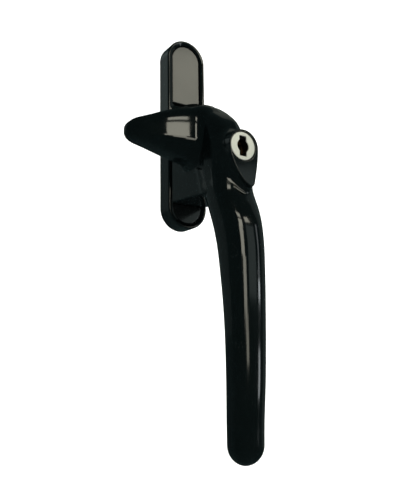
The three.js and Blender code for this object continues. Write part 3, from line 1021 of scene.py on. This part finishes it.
    def nose_shape(self, points: Array) -> Array:
        """Measures the tapering wedge with its blunt tip."""
        front, height, half_height = self.nose_curve.at(points[:, 0]).T
        half_depth = (front - self.nose_rear + self.nose_behind) / 2
        u = np.abs(-points[:, 1] - front + half_depth) / half_depth
        v = np.abs(points[:, 2] - height) / half_height
        past = np.maximum(0, self.nose_cap[0] - points[:, 0]) / self.nose_cap[1]
        power, blunt = self.nose_power, self.nose_tip_power
        return ((u**power + v**power) ** (blunt / power) + past**blunt) ** (1 / blunt) - 1

    def nose_body(self, points: Array) -> Array:
        """Gives the distance to the nose, cut flat where it bears on the keeper."""
        wedge = true_distance(self.nose_shape, points)
        wedge = np.maximum(wedge, points[:, 0] - self.nose_root)
        ahead = -points[:, 1] - self.nose_curve.at(points[:, 0])[:, 0]
        tilt = math.radians(self.nose_chin)
        chin = ahead * math.cos(tilt) + (self.nose_crease - points[:, 2]) * math.sin(tilt)
        chin_edge, rear_edge = self.nose_edges
        wedge = round_common(wedge, chin, chin_edge)
        return round_common(wedge, self.nose_rear + points[:, 1], rear_edge)

    def boss(self, points: Array) -> Array:
        """Gives the distance to the lock boss, which widens a little towards its root."""
        depth = -points[:, 1]
        x, z = points[:, 0] - self.lock[0], points[:, 2] - self.lock[2]
        wall = outline_distance(x, z, self.leaf) - self.boss_draft * (self.face - depth)
        wall = round_common(wall, depth - self.face, self.boss_edge)
        return np.maximum(wall, self.boss_root - depth)

    def hollows(self, points: Array) -> Array:
        """Gives the distance to the bores and pockets at their places in the casting."""
        return self.bores.distance(points, self.lock, self.pivot)

    def solid(self, points: Array) -> Array:
        """Gives the distance to the whole casting."""
        hub = within(points, *self.hub_room, self.hub)
        lever = within(points, *self.lever_room, self.lever)
        nose = within(points, *self.nose_room, self.nose_body)
        fillet_from, fillet_grows_over, least_fillet = 2, 4, 1e-3
        widest = self.spine_curve.at(points[:, 2])[:, 1]
        behind = np.clip((widest - fillet_from + points[:, 1]) / fillet_grows_over, 0, 1)
        body = round_union(hub, nose, self.fillet)
        body = round_union(body, lever, np.maximum(self.lever_fillet * behind, least_fillet))
        boss = within(points, *self.boss_room, self.boss)
        body = round_union(body, boss, self.fillet)
        cuts = within(points, *self.bore_room, self.hollows)
        return round_cut(body, cuts, self.bore_edge)

    def lattice(self) -> Lattice:
        """Gives the lattice: fine round the hub, nose and boss, open along the lever."""
        low, high = frame_box("handle_body")
        step, spare = self.fine_step * self.coarse, 2
        along = np.arange(low[2] - spare * self.coarse, self.fine_from, self.coarse)
        heights = np.concatenate([along, np.arange(self.fine_from, high[2] + spare, step)])
        return Lattice(spaced(low[0], high[0], step), spaced(low[1], high[1], step), heights)

    def build(self, finishes: dict[Slot, bpy.types.Material]) -> bpy.types.Object:
        """Makes the casting and lets it stand for its CAD node.

        Args:
            finishes: The materials by slot.

        Returns:
            The casting.
        """
        piece = make_piece("handle_casting", skin_of(self.solid, self.lattice()),
                           finishes[Slot.ENAMEL])
        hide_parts("handle_body")
        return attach(piece, "handle")


def bezier(start: Sequence[float], first: Sequence[float], second: Sequence[float],
           end: Sequence[float], count: int) -> Array:
    """Gives points along a cubic curve.

    Args:
        start: Its start.
        first: The control point that it leaves towards.
        second: The control point that it arrives from.
        end: Its end.
        count: How many points to give.

    Returns:
        The points.
    """
    t = np.linspace(0, 1, count)[:, None]
    a, b, c, d = (np.array(point, float) for point in (start, first, second, end))
    return (1 - t) ** 3 * a + 3 * (1 - t) ** 2 * t * b + 3 * (1 - t) * t**2 * c + t**3 * d


# ---- The back plate and its covers -------------------------------------------------------


@dataclass
class Plate:
    """The round-ended back plate with two recessed panels, and the covers in them.

    Attributes:
        edge: The radius of the front edge.
        rear_edge: The radius of the rear edge.
        rim_drop: How far under the front the rim's slope meets the recess's wall.
        rim_tilt: How far the rim's slope leans from the front, in degrees.
        ramp: The length of the ramp that leads into a recess at its square end.
        rim: The width of the rim round a recess.
        recess: How deep a recess is.
        recess_corner: The radius of the corners at its square end.
        recess_edge: The radius of its edges.
        hole_edge: The edge radius of the holes.
        cover_fit: How far a recess reaches past its cover at each end.
        cover_gap: The gap between a cover and the recess's wall.
        cover_thickness: How thick a cover is.
        cover_edge: The radius of its front edge.
        cover_lift: How far it stands off the recess's floor.
        bush: The bush's bore: radius.
        washer_pocket: The rear pocket's radius and depth.
        track: The detent ball's track: its radius, half its width, and its depth.
        socket: The bolt's socket: its height, radius, and its floor's depth.
        screws: The heights of the screw holes.
        screw_hole: A screw hole's radius.
        screw_head: The head pocket's radius, and its floor's depth.
        step: The spacing of the mesh.
        low: The plate's lowest corner.
        high: Its highest corner.
        radius: The radius of its round ends, half its width.
        thickness: How thick it is.
        panels: Each recess's lowest and highest place, by its cover.
    """

    edge: float = 0.8
    rear_edge: float = 0.25
    rim_drop: float = 0.7
    rim_tilt: float = 27
    ramp: float = 2
    rim: float = 2.3
    recess: float = 2.4
    recess_corner: float = 0.4
    recess_edge: float = 0.2
    hole_edge: float = 0.15
    cover_fit: float = 0.25
    cover_gap: float = 0.2
    cover_thickness: float = 1.2
    cover_edge: float = 0.35
    cover_lift: float = 0.25
    bush: float = 4.95
    washer_pocket: tuple[float, float] = (7.2, 2.6)
    track: tuple[float, float, float] = (7.6, 1.4, 0.9)
    socket: tuple[float, float, float] = (-28.5, 1.65, 3.4)
    screws: tuple[float, float] = (31, -39)
    screw_hole: float = 2.3
    screw_head: tuple[float, float] = (3.4, 3)
    step: float = 0.33
    low: Array = field(init=False)
    high: Array = field(init=False)
    radius: float = field(init=False)
    thickness: float = field(init=False)
    panels: dict[str, tuple[float, float]] = field(init=False)

    def __post_init__(self) -> None:
        """Reads the plate's box from the frame."""
        self.low, self.high = frame_box("back_plate")
        self.radius = (self.high[0] - self.low[0]) / 2
        self.thickness = self.high[1] - self.low[1]
        self.panels = {name: self.panel_span(name) for name in
                       ("upper_screw_cover", "lower_screw_cover")}

    def panel_span(self, cover: str) -> tuple[float, float]:
        """Gives a recess's lowest and highest place, from its cover in the frame."""
        low, high = frame_box(cover)
        return low[2] - self.cover_fit, high[2] + self.cover_fit

    def dish_span(self, span: tuple[float, float]) -> tuple[float, float]:
        """Makes a recess's span longer at its square end, where a ramp leads into it."""
        low, high = span
        return (low - self.ramp, high) if low > 0 else (low, high + self.ramp)

    def panel(self, points: Array, span: tuple[float, float], inset: float) -> Array:
        """Gives the flat distance to a recess's outline: round outwards, square inwards.

        Args:
            points: The places to test.
            span: The recess's lowest and highest place.
            inset: How far to stay inside it.

        Returns:
            Distances in the plate's plane.
        """
        low, high = span[0] + inset, span[1] - inset
        half = self.radius - self.rim - inset
        x, z = points[:, 0], points[:, 2]
        on, corner = 40, self.recess_corner
        if low > 0:
            return round_common(obround_distance(x, z, low - on, high, half), low - z, corner)
        return round_common(obround_distance(x, z, low, high + on, half), z - high, corner)

    def plate(self, points: Array) -> Array:
        """Gives the distance to the back plate."""
        depth = -points[:, 1]
        x, z = points[:, 0], points[:, 2]
        outline = obround_distance(x, z, self.low[2], self.high[2], self.radius)
        body = round_common(outline, depth - self.thickness, self.edge)
        body = round_common(body, -depth, self.rear_edge)
        tilt = math.radians(self.rim_tilt)
        for span in self.panels.values():
            floor = self.thickness - self.recess - depth
            pocket = np.maximum(self.panel(points, span, 0), floor)
            dish = self.panel(points, self.dish_span(span), 0) * math.sin(tilt)
            slope = (self.thickness - self.rim_drop - depth) * math.cos(tilt) + dish
            body = round_cut(body, np.minimum(pocket, slope), self.recess_edge)
        return round_cut(body, self.holes(points), self.hole_edge)

    def holes(self, points: Array) -> Array:
        """Gives the distance to the plate's screw holes, pivot bore, socket and track."""
        x, depth, z = points[:, 0], -points[:, 1], points[:, 2]
        pivot = joint_place("handle_turn")[2]
        from_pivot = np.hypot(x, z - pivot)
        washer, washer_depth = self.washer_pocket
        orbit, half_track, track_depth = self.track
        bolt, socket, socket_floor = self.socket
        head, head_floor = self.screw_head
        ring = np.abs(from_pivot - orbit) - half_track
        quarter = np.maximum(ring, np.maximum(x, pivot - z))
        cuts = [from_pivot - self.bush,
                np.maximum(from_pivot - washer, depth - washer_depth),
                np.maximum(quarter, self.thickness - track_depth - depth),
                np.maximum(np.hypot(x, z - bolt) - socket, socket_floor - depth)]
        for screw in self.screws:
            from_screw = np.hypot(x, z - screw)
            cuts += [from_screw - self.screw_hole,
                     np.maximum(from_screw - head, head_floor - depth)]
        return np.minimum.reduce(cuts)

    def cover(self, points: Array, name: str) -> Array:
        """Gives the distance to a screw cover, a thin panel with softly rounded edges."""
        depth = -points[:, 1]
        back = self.thickness - self.recess + self.cover_lift
        outline = self.panel(points, self.panels[name], self.cover_gap)
        front = round_common(outline, depth - back - self.cover_thickness, self.cover_edge)
        return np.maximum(front, back - depth)

    def build(self, finishes: dict[Slot, bpy.types.Material]) -> list[bpy.types.Object]:
        """Makes the plate and the covers.

        Args:
            finishes: The materials by slot.

        Returns:
            The three pieces.
        """
        sides = [spaced(self.low[i], self.high[i], self.step) for i in range(3)]
        plate = make_piece("plate_casting", skin_of(self.plate, Lattice(*sides)),
                           finishes[Slot.ENAMEL])
        made = [(plate, "back_plate", Slot.ENAMEL)]
        for name in self.panels:
            low, high = frame_box(name)
            sides = [spaced(low[i], high[i], self.step) for i in range(3)]
            skin = skin_of(lambda points, name=name: self.cover(points, name), Lattice(*sides))
            made.append((make_piece(name + "_moulding", skin, finishes[Slot.PLASTIC]), name,
                         Slot.PLASTIC))
        for piece, node, slot in made:
            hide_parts(node)
            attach(piece, "plate")
        return [piece for piece, _, _ in made]


# ---- The lock's plug ---------------------------------------------------------------------


@dataclass
class KeyPlug:
    """The round key plug: a bevelled face, a key way with a round eye, and a slotted body.

    Attributes:
        key_half: Half the key way's width.
        key_reach: Half its height in the face.
        key_inner_reach: Half its height inside.
        key_floor: The depth that it goes down to.
        key_corner: The radius of its corners.
        key_edge: The radius of its edge in the face.
        eye: The radius of the round eye at its middle.
        head: How thick the plug's head is.
        head_edge: The radius of the head's rear edge.
        bevel: The radius of the face's edge.
        body: The body's radius, and its rear end's depth.
        body_sunk: How far the body's front lies behind the face.
        tail: The tail's radius, and its rear and front depths.
        groove: The clip's groove: its floor's radius, its middle's depth, half its width.
        wafers: How many wafers there are.
        wafer_first: The depth of the first wafer's slit.
        wafer_pitch: How far apart the slits are.
        wafer_half: Half a slit's width and thickness.
        step: The spacing of the mesh.
        low: The plug's lowest corner.
        high: Its highest corner.
        radius: The head's radius.
        axis: The lock's place.
        face: The depth of the face.
    """

    key_half: float = 1.7
    key_reach: float = 4.3
    key_inner_reach: float = 3.5
    key_floor: float = 37.5
    key_corner: float = 0.15
    key_edge: float = 0.18
    eye: float = 2.8
    head: float = 1.7
    head_edge: float = 0.1
    bevel: float = 0.35
    body: tuple[float, float] = (4.6, 35.7)
    body_sunk: float = 1
    tail: tuple[float, float, float] = (2, 32.4, 36)
    groove: tuple[float, float, float] = (1.5, 33.2, 0.4)
    wafers: int = 4
    wafer_first: float = 47.2
    wafer_pitch: float = 2.8
    wafer_half: tuple[float, float] = (2.7, 0.7)
    step: float = 0.2
    low: Array = field(init=False)
    high: Array = field(init=False)
    radius: float = field(init=False)
    axis: Array = field(init=False)
    face: float = field(init=False)

    def __post_init__(self) -> None:
        """Reads the plug's box from the frame."""
        self.low, self.high = frame_box("lock_plug")
        self.radius = (self.high[0] - self.low[0]) / 2
        self.axis = joint_place("lock_turn")
        self.face = -self.low[1]

    def key_way(self, x: Array, z: Array, reach: float) -> Array:
        """Gives the flat distance to the key way, a slot with a round eye at its middle."""
        eye_blend = 0.2
        slot = box_distance(x, z, (self.key_half, reach), self.key_corner)
        return round_union(slot, np.hypot(x, z) - self.eye, eye_blend)

    def solid(self, points: Array) -> Array:
        """Gives the distance to the plug."""
        x, z = points[:, 0] - self.axis[0], points[:, 2] - self.axis[2]
        depth = -points[:, 1]
        radius = np.hypot(x, z)
        body_radius, body_rear = self.body
        tail_radius, tail_rear, tail_front = self.tail
        groove_radius, groove_middle, groove_half = self.groove
        head = round_common(radius - self.radius, self.face - self.head - depth, self.head_edge)
        head = round_common(head, depth - self.face, self.bevel)
        ends = np.maximum(body_rear - depth, depth - self.face + self.body_sunk)
        body = np.maximum(radius - body_radius, ends)
        groove = np.maximum(groove_radius - radius, np.abs(depth - groove_middle) - groove_half)
        ends = np.maximum(tail_rear - depth, depth - tail_front)
        tail = np.maximum(np.maximum(radius - tail_radius, -groove), ends)
        plug = np.minimum(np.minimum(head, body), tail)
        mouth = np.maximum(self.key_way(x, z, self.key_reach), self.face - self.head - depth)
        inner = np.maximum(self.key_way(x, z, self.key_inner_reach), self.key_floor - depth)
        plug = round_cut(plug, mouth, self.key_edge)
        plug = np.maximum(plug, -inner)
        for i in range(self.wafers):
            from_middle = np.abs(depth - (self.wafer_first - self.wafer_pitch * i))
            slit = np.maximum(np.abs(x) - self.wafer_half[0], from_middle - self.wafer_half[1])
            plug = np.maximum(plug, -slit)
        return plug

    def build(self, finishes: dict[Slot, bpy.types.Material]) -> bpy.types.Object:
        """Makes the plug and lets it stand for its CAD node.

        Args:
            finishes: The materials by slot.

        Returns:
            The plug.
        """
        sides = [spaced(self.low[i], self.high[i], self.step) for i in range(3)]
        piece = make_piece("key_plug", skin_of(self.solid, Lattice(*sides)), finishes[Slot.ZINC])
        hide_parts("lock_plug")
        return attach(piece, "plug")


# ---- Coil springs ------------------------------------------------------------------------


def coil_tree() -> bpy.types.GeometryNodeTree:
    """Makes the node tree that sweeps a round wire along a coil.

    Returns:
        The tree, with the coil's sizes in metres, its turns and its material as inputs.
    """
    points_per_turn, wire_sides = 28, 12
    tree = bpy.data.node_groups.new("coil_spring", "GeometryNodeTree")
    sockets = {"Radius": "NodeSocketFloat", "Wire Radius": "NodeSocketFloat",
               "Length": "NodeSocketFloat", "Turns": "NodeSocketFloat",
               "Material": "NodeSocketMaterial"}
    tree.interface.new_socket("Geometry", in_out="INPUT", socket_type="NodeSocketGeometry")
    for name, kind in sockets.items():
        tree.interface.new_socket(name, in_out="INPUT", socket_type=kind)
    tree.interface.new_socket("Geometry", in_out="OUTPUT", socket_type="NodeSocketGeometry")
    wiring = Wiring(tree)
    given, result = wiring.add("NodeGroupInput"), wiring.add("NodeGroupOutput")
    path = wiring.add("GeometryNodeCurveSpiral")
    path.inputs["Resolution"].default_value = points_per_turn
    for source, target in (("Turns", "Rotations"), ("Radius", "Start Radius"),
                           ("Radius", "End Radius"), ("Length", "Height")):
        wiring.join(given.outputs[source], path.inputs[target])
    section = wiring.add("GeometryNodeCurvePrimitiveCircle")
    section.inputs["Resolution"].default_value = wire_sides
    wiring.join(given.outputs["Wire Radius"], section.inputs["Radius"])
    sweep = wiring.add("GeometryNodeCurveToMesh")
    sweep.inputs["Fill Caps"].default_value = True
    wiring.join(path.outputs["Curve"], sweep.inputs["Curve"])
    wiring.join(section.outputs["Curve"], sweep.inputs["Profile Curve"])
    whole = wiring.add("GeometryNodeRealizeInstances")
    wiring.join(sweep.outputs["Mesh"], whole.inputs["Geometry"])
    painted = wiring.add("GeometryNodeSetMaterial")
    wiring.join(whole.outputs["Geometry"], painted.inputs["Geometry"])
    wiring.join(given.outputs["Material"], painted.inputs["Material"])
    wiring.join(painted.outputs["Geometry"], result.inputs["Geometry"])
    return tree


@dataclass(frozen=True)
class Spring:
    """A coil spring that stands for its CAD node.

    Attributes:
        node: The CAD node.
        body: The body that it rides on.
        wire: The wire's radius, in millimetres.
        turns: How many turns it has.
        along: The axis that it is wound round: 1 for into the room, 2 for upright.
        joint: The joint that presses it together, if one does.
        travel: How much shorter the joint's longer limit makes it, in millimetres; not used.
    """

    node: str
    body: str
    wire: float
    turns: float
    along: int
    joint: str = ""
    travel: float = 0

    def build(self, tree: bpy.types.GeometryNodeTree,
              finish: bpy.types.Material) -> bpy.types.Object:
        """Winds the spring inside its node's box.

        Args:
            tree: The coil's node tree.
            finish: The wire's material.

        Returns:
            The spring.
        """
        low, high = frame_box(self.node)
        size, middle = high - low, (high + low) / 2
        given = {
            "Radius": (size[0] / 2 - self.wire) * MM,
            "Wire Radius": self.wire * MM,
            "Length": (size[self.along] - 2 * self.wire) * MM,
            "Turns": self.turns,
            "Material": finish,
        }
        start = middle.copy()
        if self.along == 1:
            turned = Matrix.Rotation(math.pi / 2, 4, "X")
            start[1] = high[1] - self.wire
        else:
            turned = Matrix.Identity(4)
            start[2] = low[2] + self.wire
        holder = bpy.data.objects.new("coil_holder", bpy.data.meshes.new("coil_holder"))
        bpy.context.scene.collection.objects.link(holder)
        winding = holder.modifiers.new("winding", "NODES")
        winding.node_group = tree
        for item in tree.interface.items_tree:
            if item.item_type == "SOCKET" and item.in_out == "INPUT" and item.name in given:
                winding[item.identifier] = given[item.name]
        seen = holder.evaluated_get(bpy.context.evaluated_depsgraph_get())
        mesh = bpy.data.meshes.new_from_object(seen)
        bpy.data.objects.remove(holder)
        mesh.transform(Matrix.Translation(Vector(start * MM)) @ turned)
        mesh.name = self.node + "_coil"
        piece = bpy.data.objects.new(self.node + "_coil", mesh)
        bpy.context.scene.collection.objects.link(piece)
        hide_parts(self.node)
        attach(piece, self.body)
        if self.joint:
            seat = middle.copy()
            seat[1] = high[1]
            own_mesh(piece)
        return piece


SPRINGS = (
    Spring("bolt_spring", "handle", 0.25, 9, 1, "bolt_slide", 3.75),
    Spring("detent_spring", "handle", 0.2, 6, 1),
    *(Spring(f"wafer_spring_{place}", "plug", 0.12, 4, 2) for place in range(1, 5)),
)


# ---- Camera, floor and light -------------------------------------------------------------


WHITE: Colour = (1, 1, 1)
WARM: Colour = (1, 0.98, 0.82)
COOL: Colour = (0.9, 0.97, 1)
SHADED: Colour = (0.85, 1, 0.97)


@dataclass(frozen=True)
class SoftBox:
    """A rectangular studio light that faces the handle and fills a patch of its sky.

    Attributes:
        name: Its name.
        azimuths: Where it starts and ends round the handle, in degrees from straight in front.
        elevations: Where it starts and ends above level, in degrees.
        brightness: Its radiance, where white paper in the studio is about 1.
        colour: Its colour.
        distance: How far it stands from the handle, in metres.
    """

    name: str
    azimuths: tuple[float, float]
    elevations: tuple[float, float]
    brightness: float
    colour: Colour = WHITE
    distance: float = 5

    def place(self, aim: Vector) -> bpy.types.Object:
        """Puts the light up.

        Args:
            aim: The point that it faces, in metres.

        Returns:
            The light.
        """
        azimuth, elevation = sum(self.azimuths) / 2, sum(self.elevations) / 2
        wide = math.radians(self.azimuths[1] - self.azimuths[0])
        wide = wide * math.cos(math.radians(elevation))
        tall = math.radians(self.elevations[1] - self.elevations[0])
        lamp = bpy.data.lights.new(self.name, "AREA")
        lamp.shape = "RECTANGLE"
        lamp.size = 2 * self.distance * math.tan(wide / 2)
        lamp.size_y = 2 * self.distance * math.tan(tall / 2)
        lamp.energy = self.brightness * math.pi * lamp.size * lamp.size_y
        lamp.color = self.colour
        light = bpy.data.objects.new(self.name, lamp)
        bpy.context.scene.collection.objects.link(light)
        back = direction(azimuth, elevation)
        light.matrix_world = facing(aim + back * self.distance, back, 0)
        return light


def direction(azimuth: float, elevation: float) -> Vector:
    """Gives the direction from the handle at an angle round it and above level."""
    a, e = math.radians(azimuth), math.radians(elevation)
    return Vector((math.sin(a) * math.cos(e), -math.cos(a) * math.cos(e), math.sin(e)))


def facing(place: Vector, back: Vector, roll: float) -> Matrix:
    """Turns a camera or a light so that it looks against a direction.

    Args:
        place: Where it stands.
        back: The direction from what it looks at to it.
        roll: How far it is turned about that line, in degrees.

    Returns:
        Its matrix.
    """
    level = Vector((-back.y, back.x, 0)).normalized()
    up = back.cross(level)
    r = math.radians(roll)
    right = math.cos(r) * level + math.sin(r) * up
    top = -math.sin(r) * level + math.cos(r) * up
    turned = Matrix((right, top, back)).transposed().to_4x4()
    return Matrix.Translation(place) @ turned


@dataclass(frozen=True)
class Studio:
    """The camera, a pale sweep of floor and wall, and the soft lights.

    The sweep is hidden from reflections, so the black enamel mirrors a dim room and its
    windows and not a white floor.

    Attributes:
        aim: What the camera looks at and the lights face, in metres.
        azimuth: Where the camera stands round the handle, in degrees from straight in front.
        elevation: How far it stands above level, in degrees.
        roll: How far it is turned about its line of sight, in degrees.
        distance: How far it stands from its aim, in metres.
        lens: Its focal length, in millimetres.
        sensor: Its sensor's width, in millimetres.
        room: The colour of the dim room.
        boxes: The soft lights.
    """

    aim: tuple[float, float, float] = (0.01422, 0.0, -0.05333)
    azimuth: float = -32.74
    elevation: float = -9.97
    roll: float = -0.87
    distance: float = 0.28565
    lens: float = 43.2
    sensor: float = 36
    room: Colour = (0.035, 0.055, 0.055)
    boxes: tuple[SoftBox, ...] = (
        SoftBox("window_main_pane", (-10, 10.5), (15, 25), 5.2, WARM),
        SoftBox("window_upper_pane", (-9, 10.5), (28.3, 35.5), 5, WARM),
        SoftBox("window_lower_pane", (-13, 7), (6, 15), 4.6, WARM),
        SoftBox("window_sill_pane", (-4, 13), (0, 6), 3.8, WARM),
        SoftBox("window_foot_pane", (6, 19), (-4.5, 0), 2.8, WARM),
        SoftBox("side_window", (25, 38), (21.5, 31), 4.3, WARM),
        SoftBox("door_upper_pane", (45, 50), (5, 20), 1.3, COOL),
        SoftBox("door_middle_pane", (43.5, 50), (2, 5), 7, COOL),
        SoftBox("door_lower_pane", (41.5, 47.5), (-10, -2), 4.6, COOL),
        SoftBox("grey_screen", (24, 39), (2, 18), 0.5, SHADED),
        SoftBox("far_wall", (112, 150), (25, 62), 0.1, WARM),
        SoftBox("right_wall", (62, 105), (-15, 50), 0.12, SHADED),
        SoftBox("near_wall", (-172, -130), (20, 42), 0.25, SHADED),
        SoftBox("near_wall_foot", (-172, -125), (0, 20), 0.06, SHADED),
    )

    def camera(self) -> bpy.types.Object:
        """Puts up the camera that shows the handle from the left and a little below."""
        shot = bpy.data.cameras.new("handle_camera")
        shot.lens = self.lens
        shot.sensor_width = self.sensor
        shot.clip_start = 0.01
        taker = bpy.data.objects.new("handle_camera", shot)
        bpy.context.scene.collection.objects.link(taker)
        back = direction(self.azimuth, self.elevation)
        taker.matrix_world = facing(Vector(self.aim) + back * self.distance, back, self.roll)
        bpy.context.scene.camera = taker
        return taker

    def sweep(self) -> bpy.types.Object:
        """Makes the pale floor that curves up into a wall behind the handle."""
        near, wall, drop, bend, half, top, glow = -1.6, 0.55, -0.42, 0.3, 1.8, 1.3, 0.85
        turn = np.linspace(-math.pi / 2, 0, 24)
        line = [(near, drop)]
        line += [(wall - bend + bend * math.cos(a), drop + bend + bend * math.sin(a)) for a in turn]
        line.append((wall, top))
        corners = [(side * half, y, z) for y, z in line for side in (-1, 1)]
        faces = [(2 * i, 2 * i + 1, 2 * i + 3, 2 * i + 2) for i in range(len(line) - 1)]
        mesh = bpy.data.meshes.new("pale_sweep")
        mesh.from_pydata(corners, [], faces)
        mesh.polygons.foreach_set("use_smooth", np.ones(len(faces), bool))
        paper = bpy.data.materials.new("pale_paper")
        paper.use_nodes = True
        shader = paper.node_tree.nodes["Principled BSDF"]
        shader.inputs["Base Color"].default_value = (0.9, 0.9, 0.9, 1)
        shader.inputs["Roughness"].default_value = 0.9
        shader.inputs["Emission Color"].default_value = (1, 1, 1, 1)
        shader.inputs["Emission Strength"].default_value = glow
        mesh.materials.append(paper)
        sweep = bpy.data.objects.new("pale_sweep", mesh)
        bpy.context.scene.collection.objects.link(sweep)
        sweep.visible_glossy = False
        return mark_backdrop(sweep)

    def surroundings(self) -> None:
        """Sets the room: dim walls for the gloss to mirror, pale where they are looked at."""
        world = bpy.data.worlds.new("studio_room")
        world.use_nodes = True
        wiring = Wiring(world.node_tree)
        background = world.node_tree.nodes["Background"]
        looked_at = wiring.add("ShaderNodeLightPath").outputs["Is Camera Ray"]
        shade = wiring.add("ShaderNodeMix", data_type="RGBA")
        shade.inputs[MIX_COLOURS[0]].default_value = (*self.room, 1)
        wiring.join(wiring.over(shade, looked_at, WHITE), background.inputs["Color"])
        bpy.context.scene.world = world

    def build(self) -> None:
        """Puts up the whole studio."""
        self.camera()
        self.sweep()
        self.surroundings()
        for box in self.boxes:
            box.place(Vector(self.aim))


# ---- Building it all ---------------------------------------------------------------------


def dress_nodes(finishes: dict[Slot, bpy.types.Material]) -> None:
    """Gives every CAD node that still shows the finish of its slot in the record.

    Args:
        finishes: The materials by slot.
    """
    slots = {entry["node"]: entry["material_slot"] for entry in frame["record"]["subparts"]}
    for name, node in frame["nodes"].items():
        node.data.materials.clear()
        node.data.materials.append(finishes[Slot(slots[name])])


def main() -> None:
    """Builds the handle's visual model and its studio."""
    logging.basicConfig(level=logging.INFO, format="%(name)s: %(message)s")
    bpy.context.scene.view_settings.view_transform = "Standard"
    groups = {"ripple": ripple_group(), "dust": dust_group(), "shade_and_grease": keyway_shade_and_grease_group()}
    finishes = {finish.slot: finish.material(groups) for finish in FINISHES}
    dress_nodes(finishes)
    Studio().build()
    Casting().build(finishes)
    Plate().build(finishes)
    KeyPlug().build(finishes)
    winding = coil_tree()
    for spring in SPRINGS:
        spring.build(winding, finishes[Slot.SPRING])


if __name__ == "__main__":
    main()
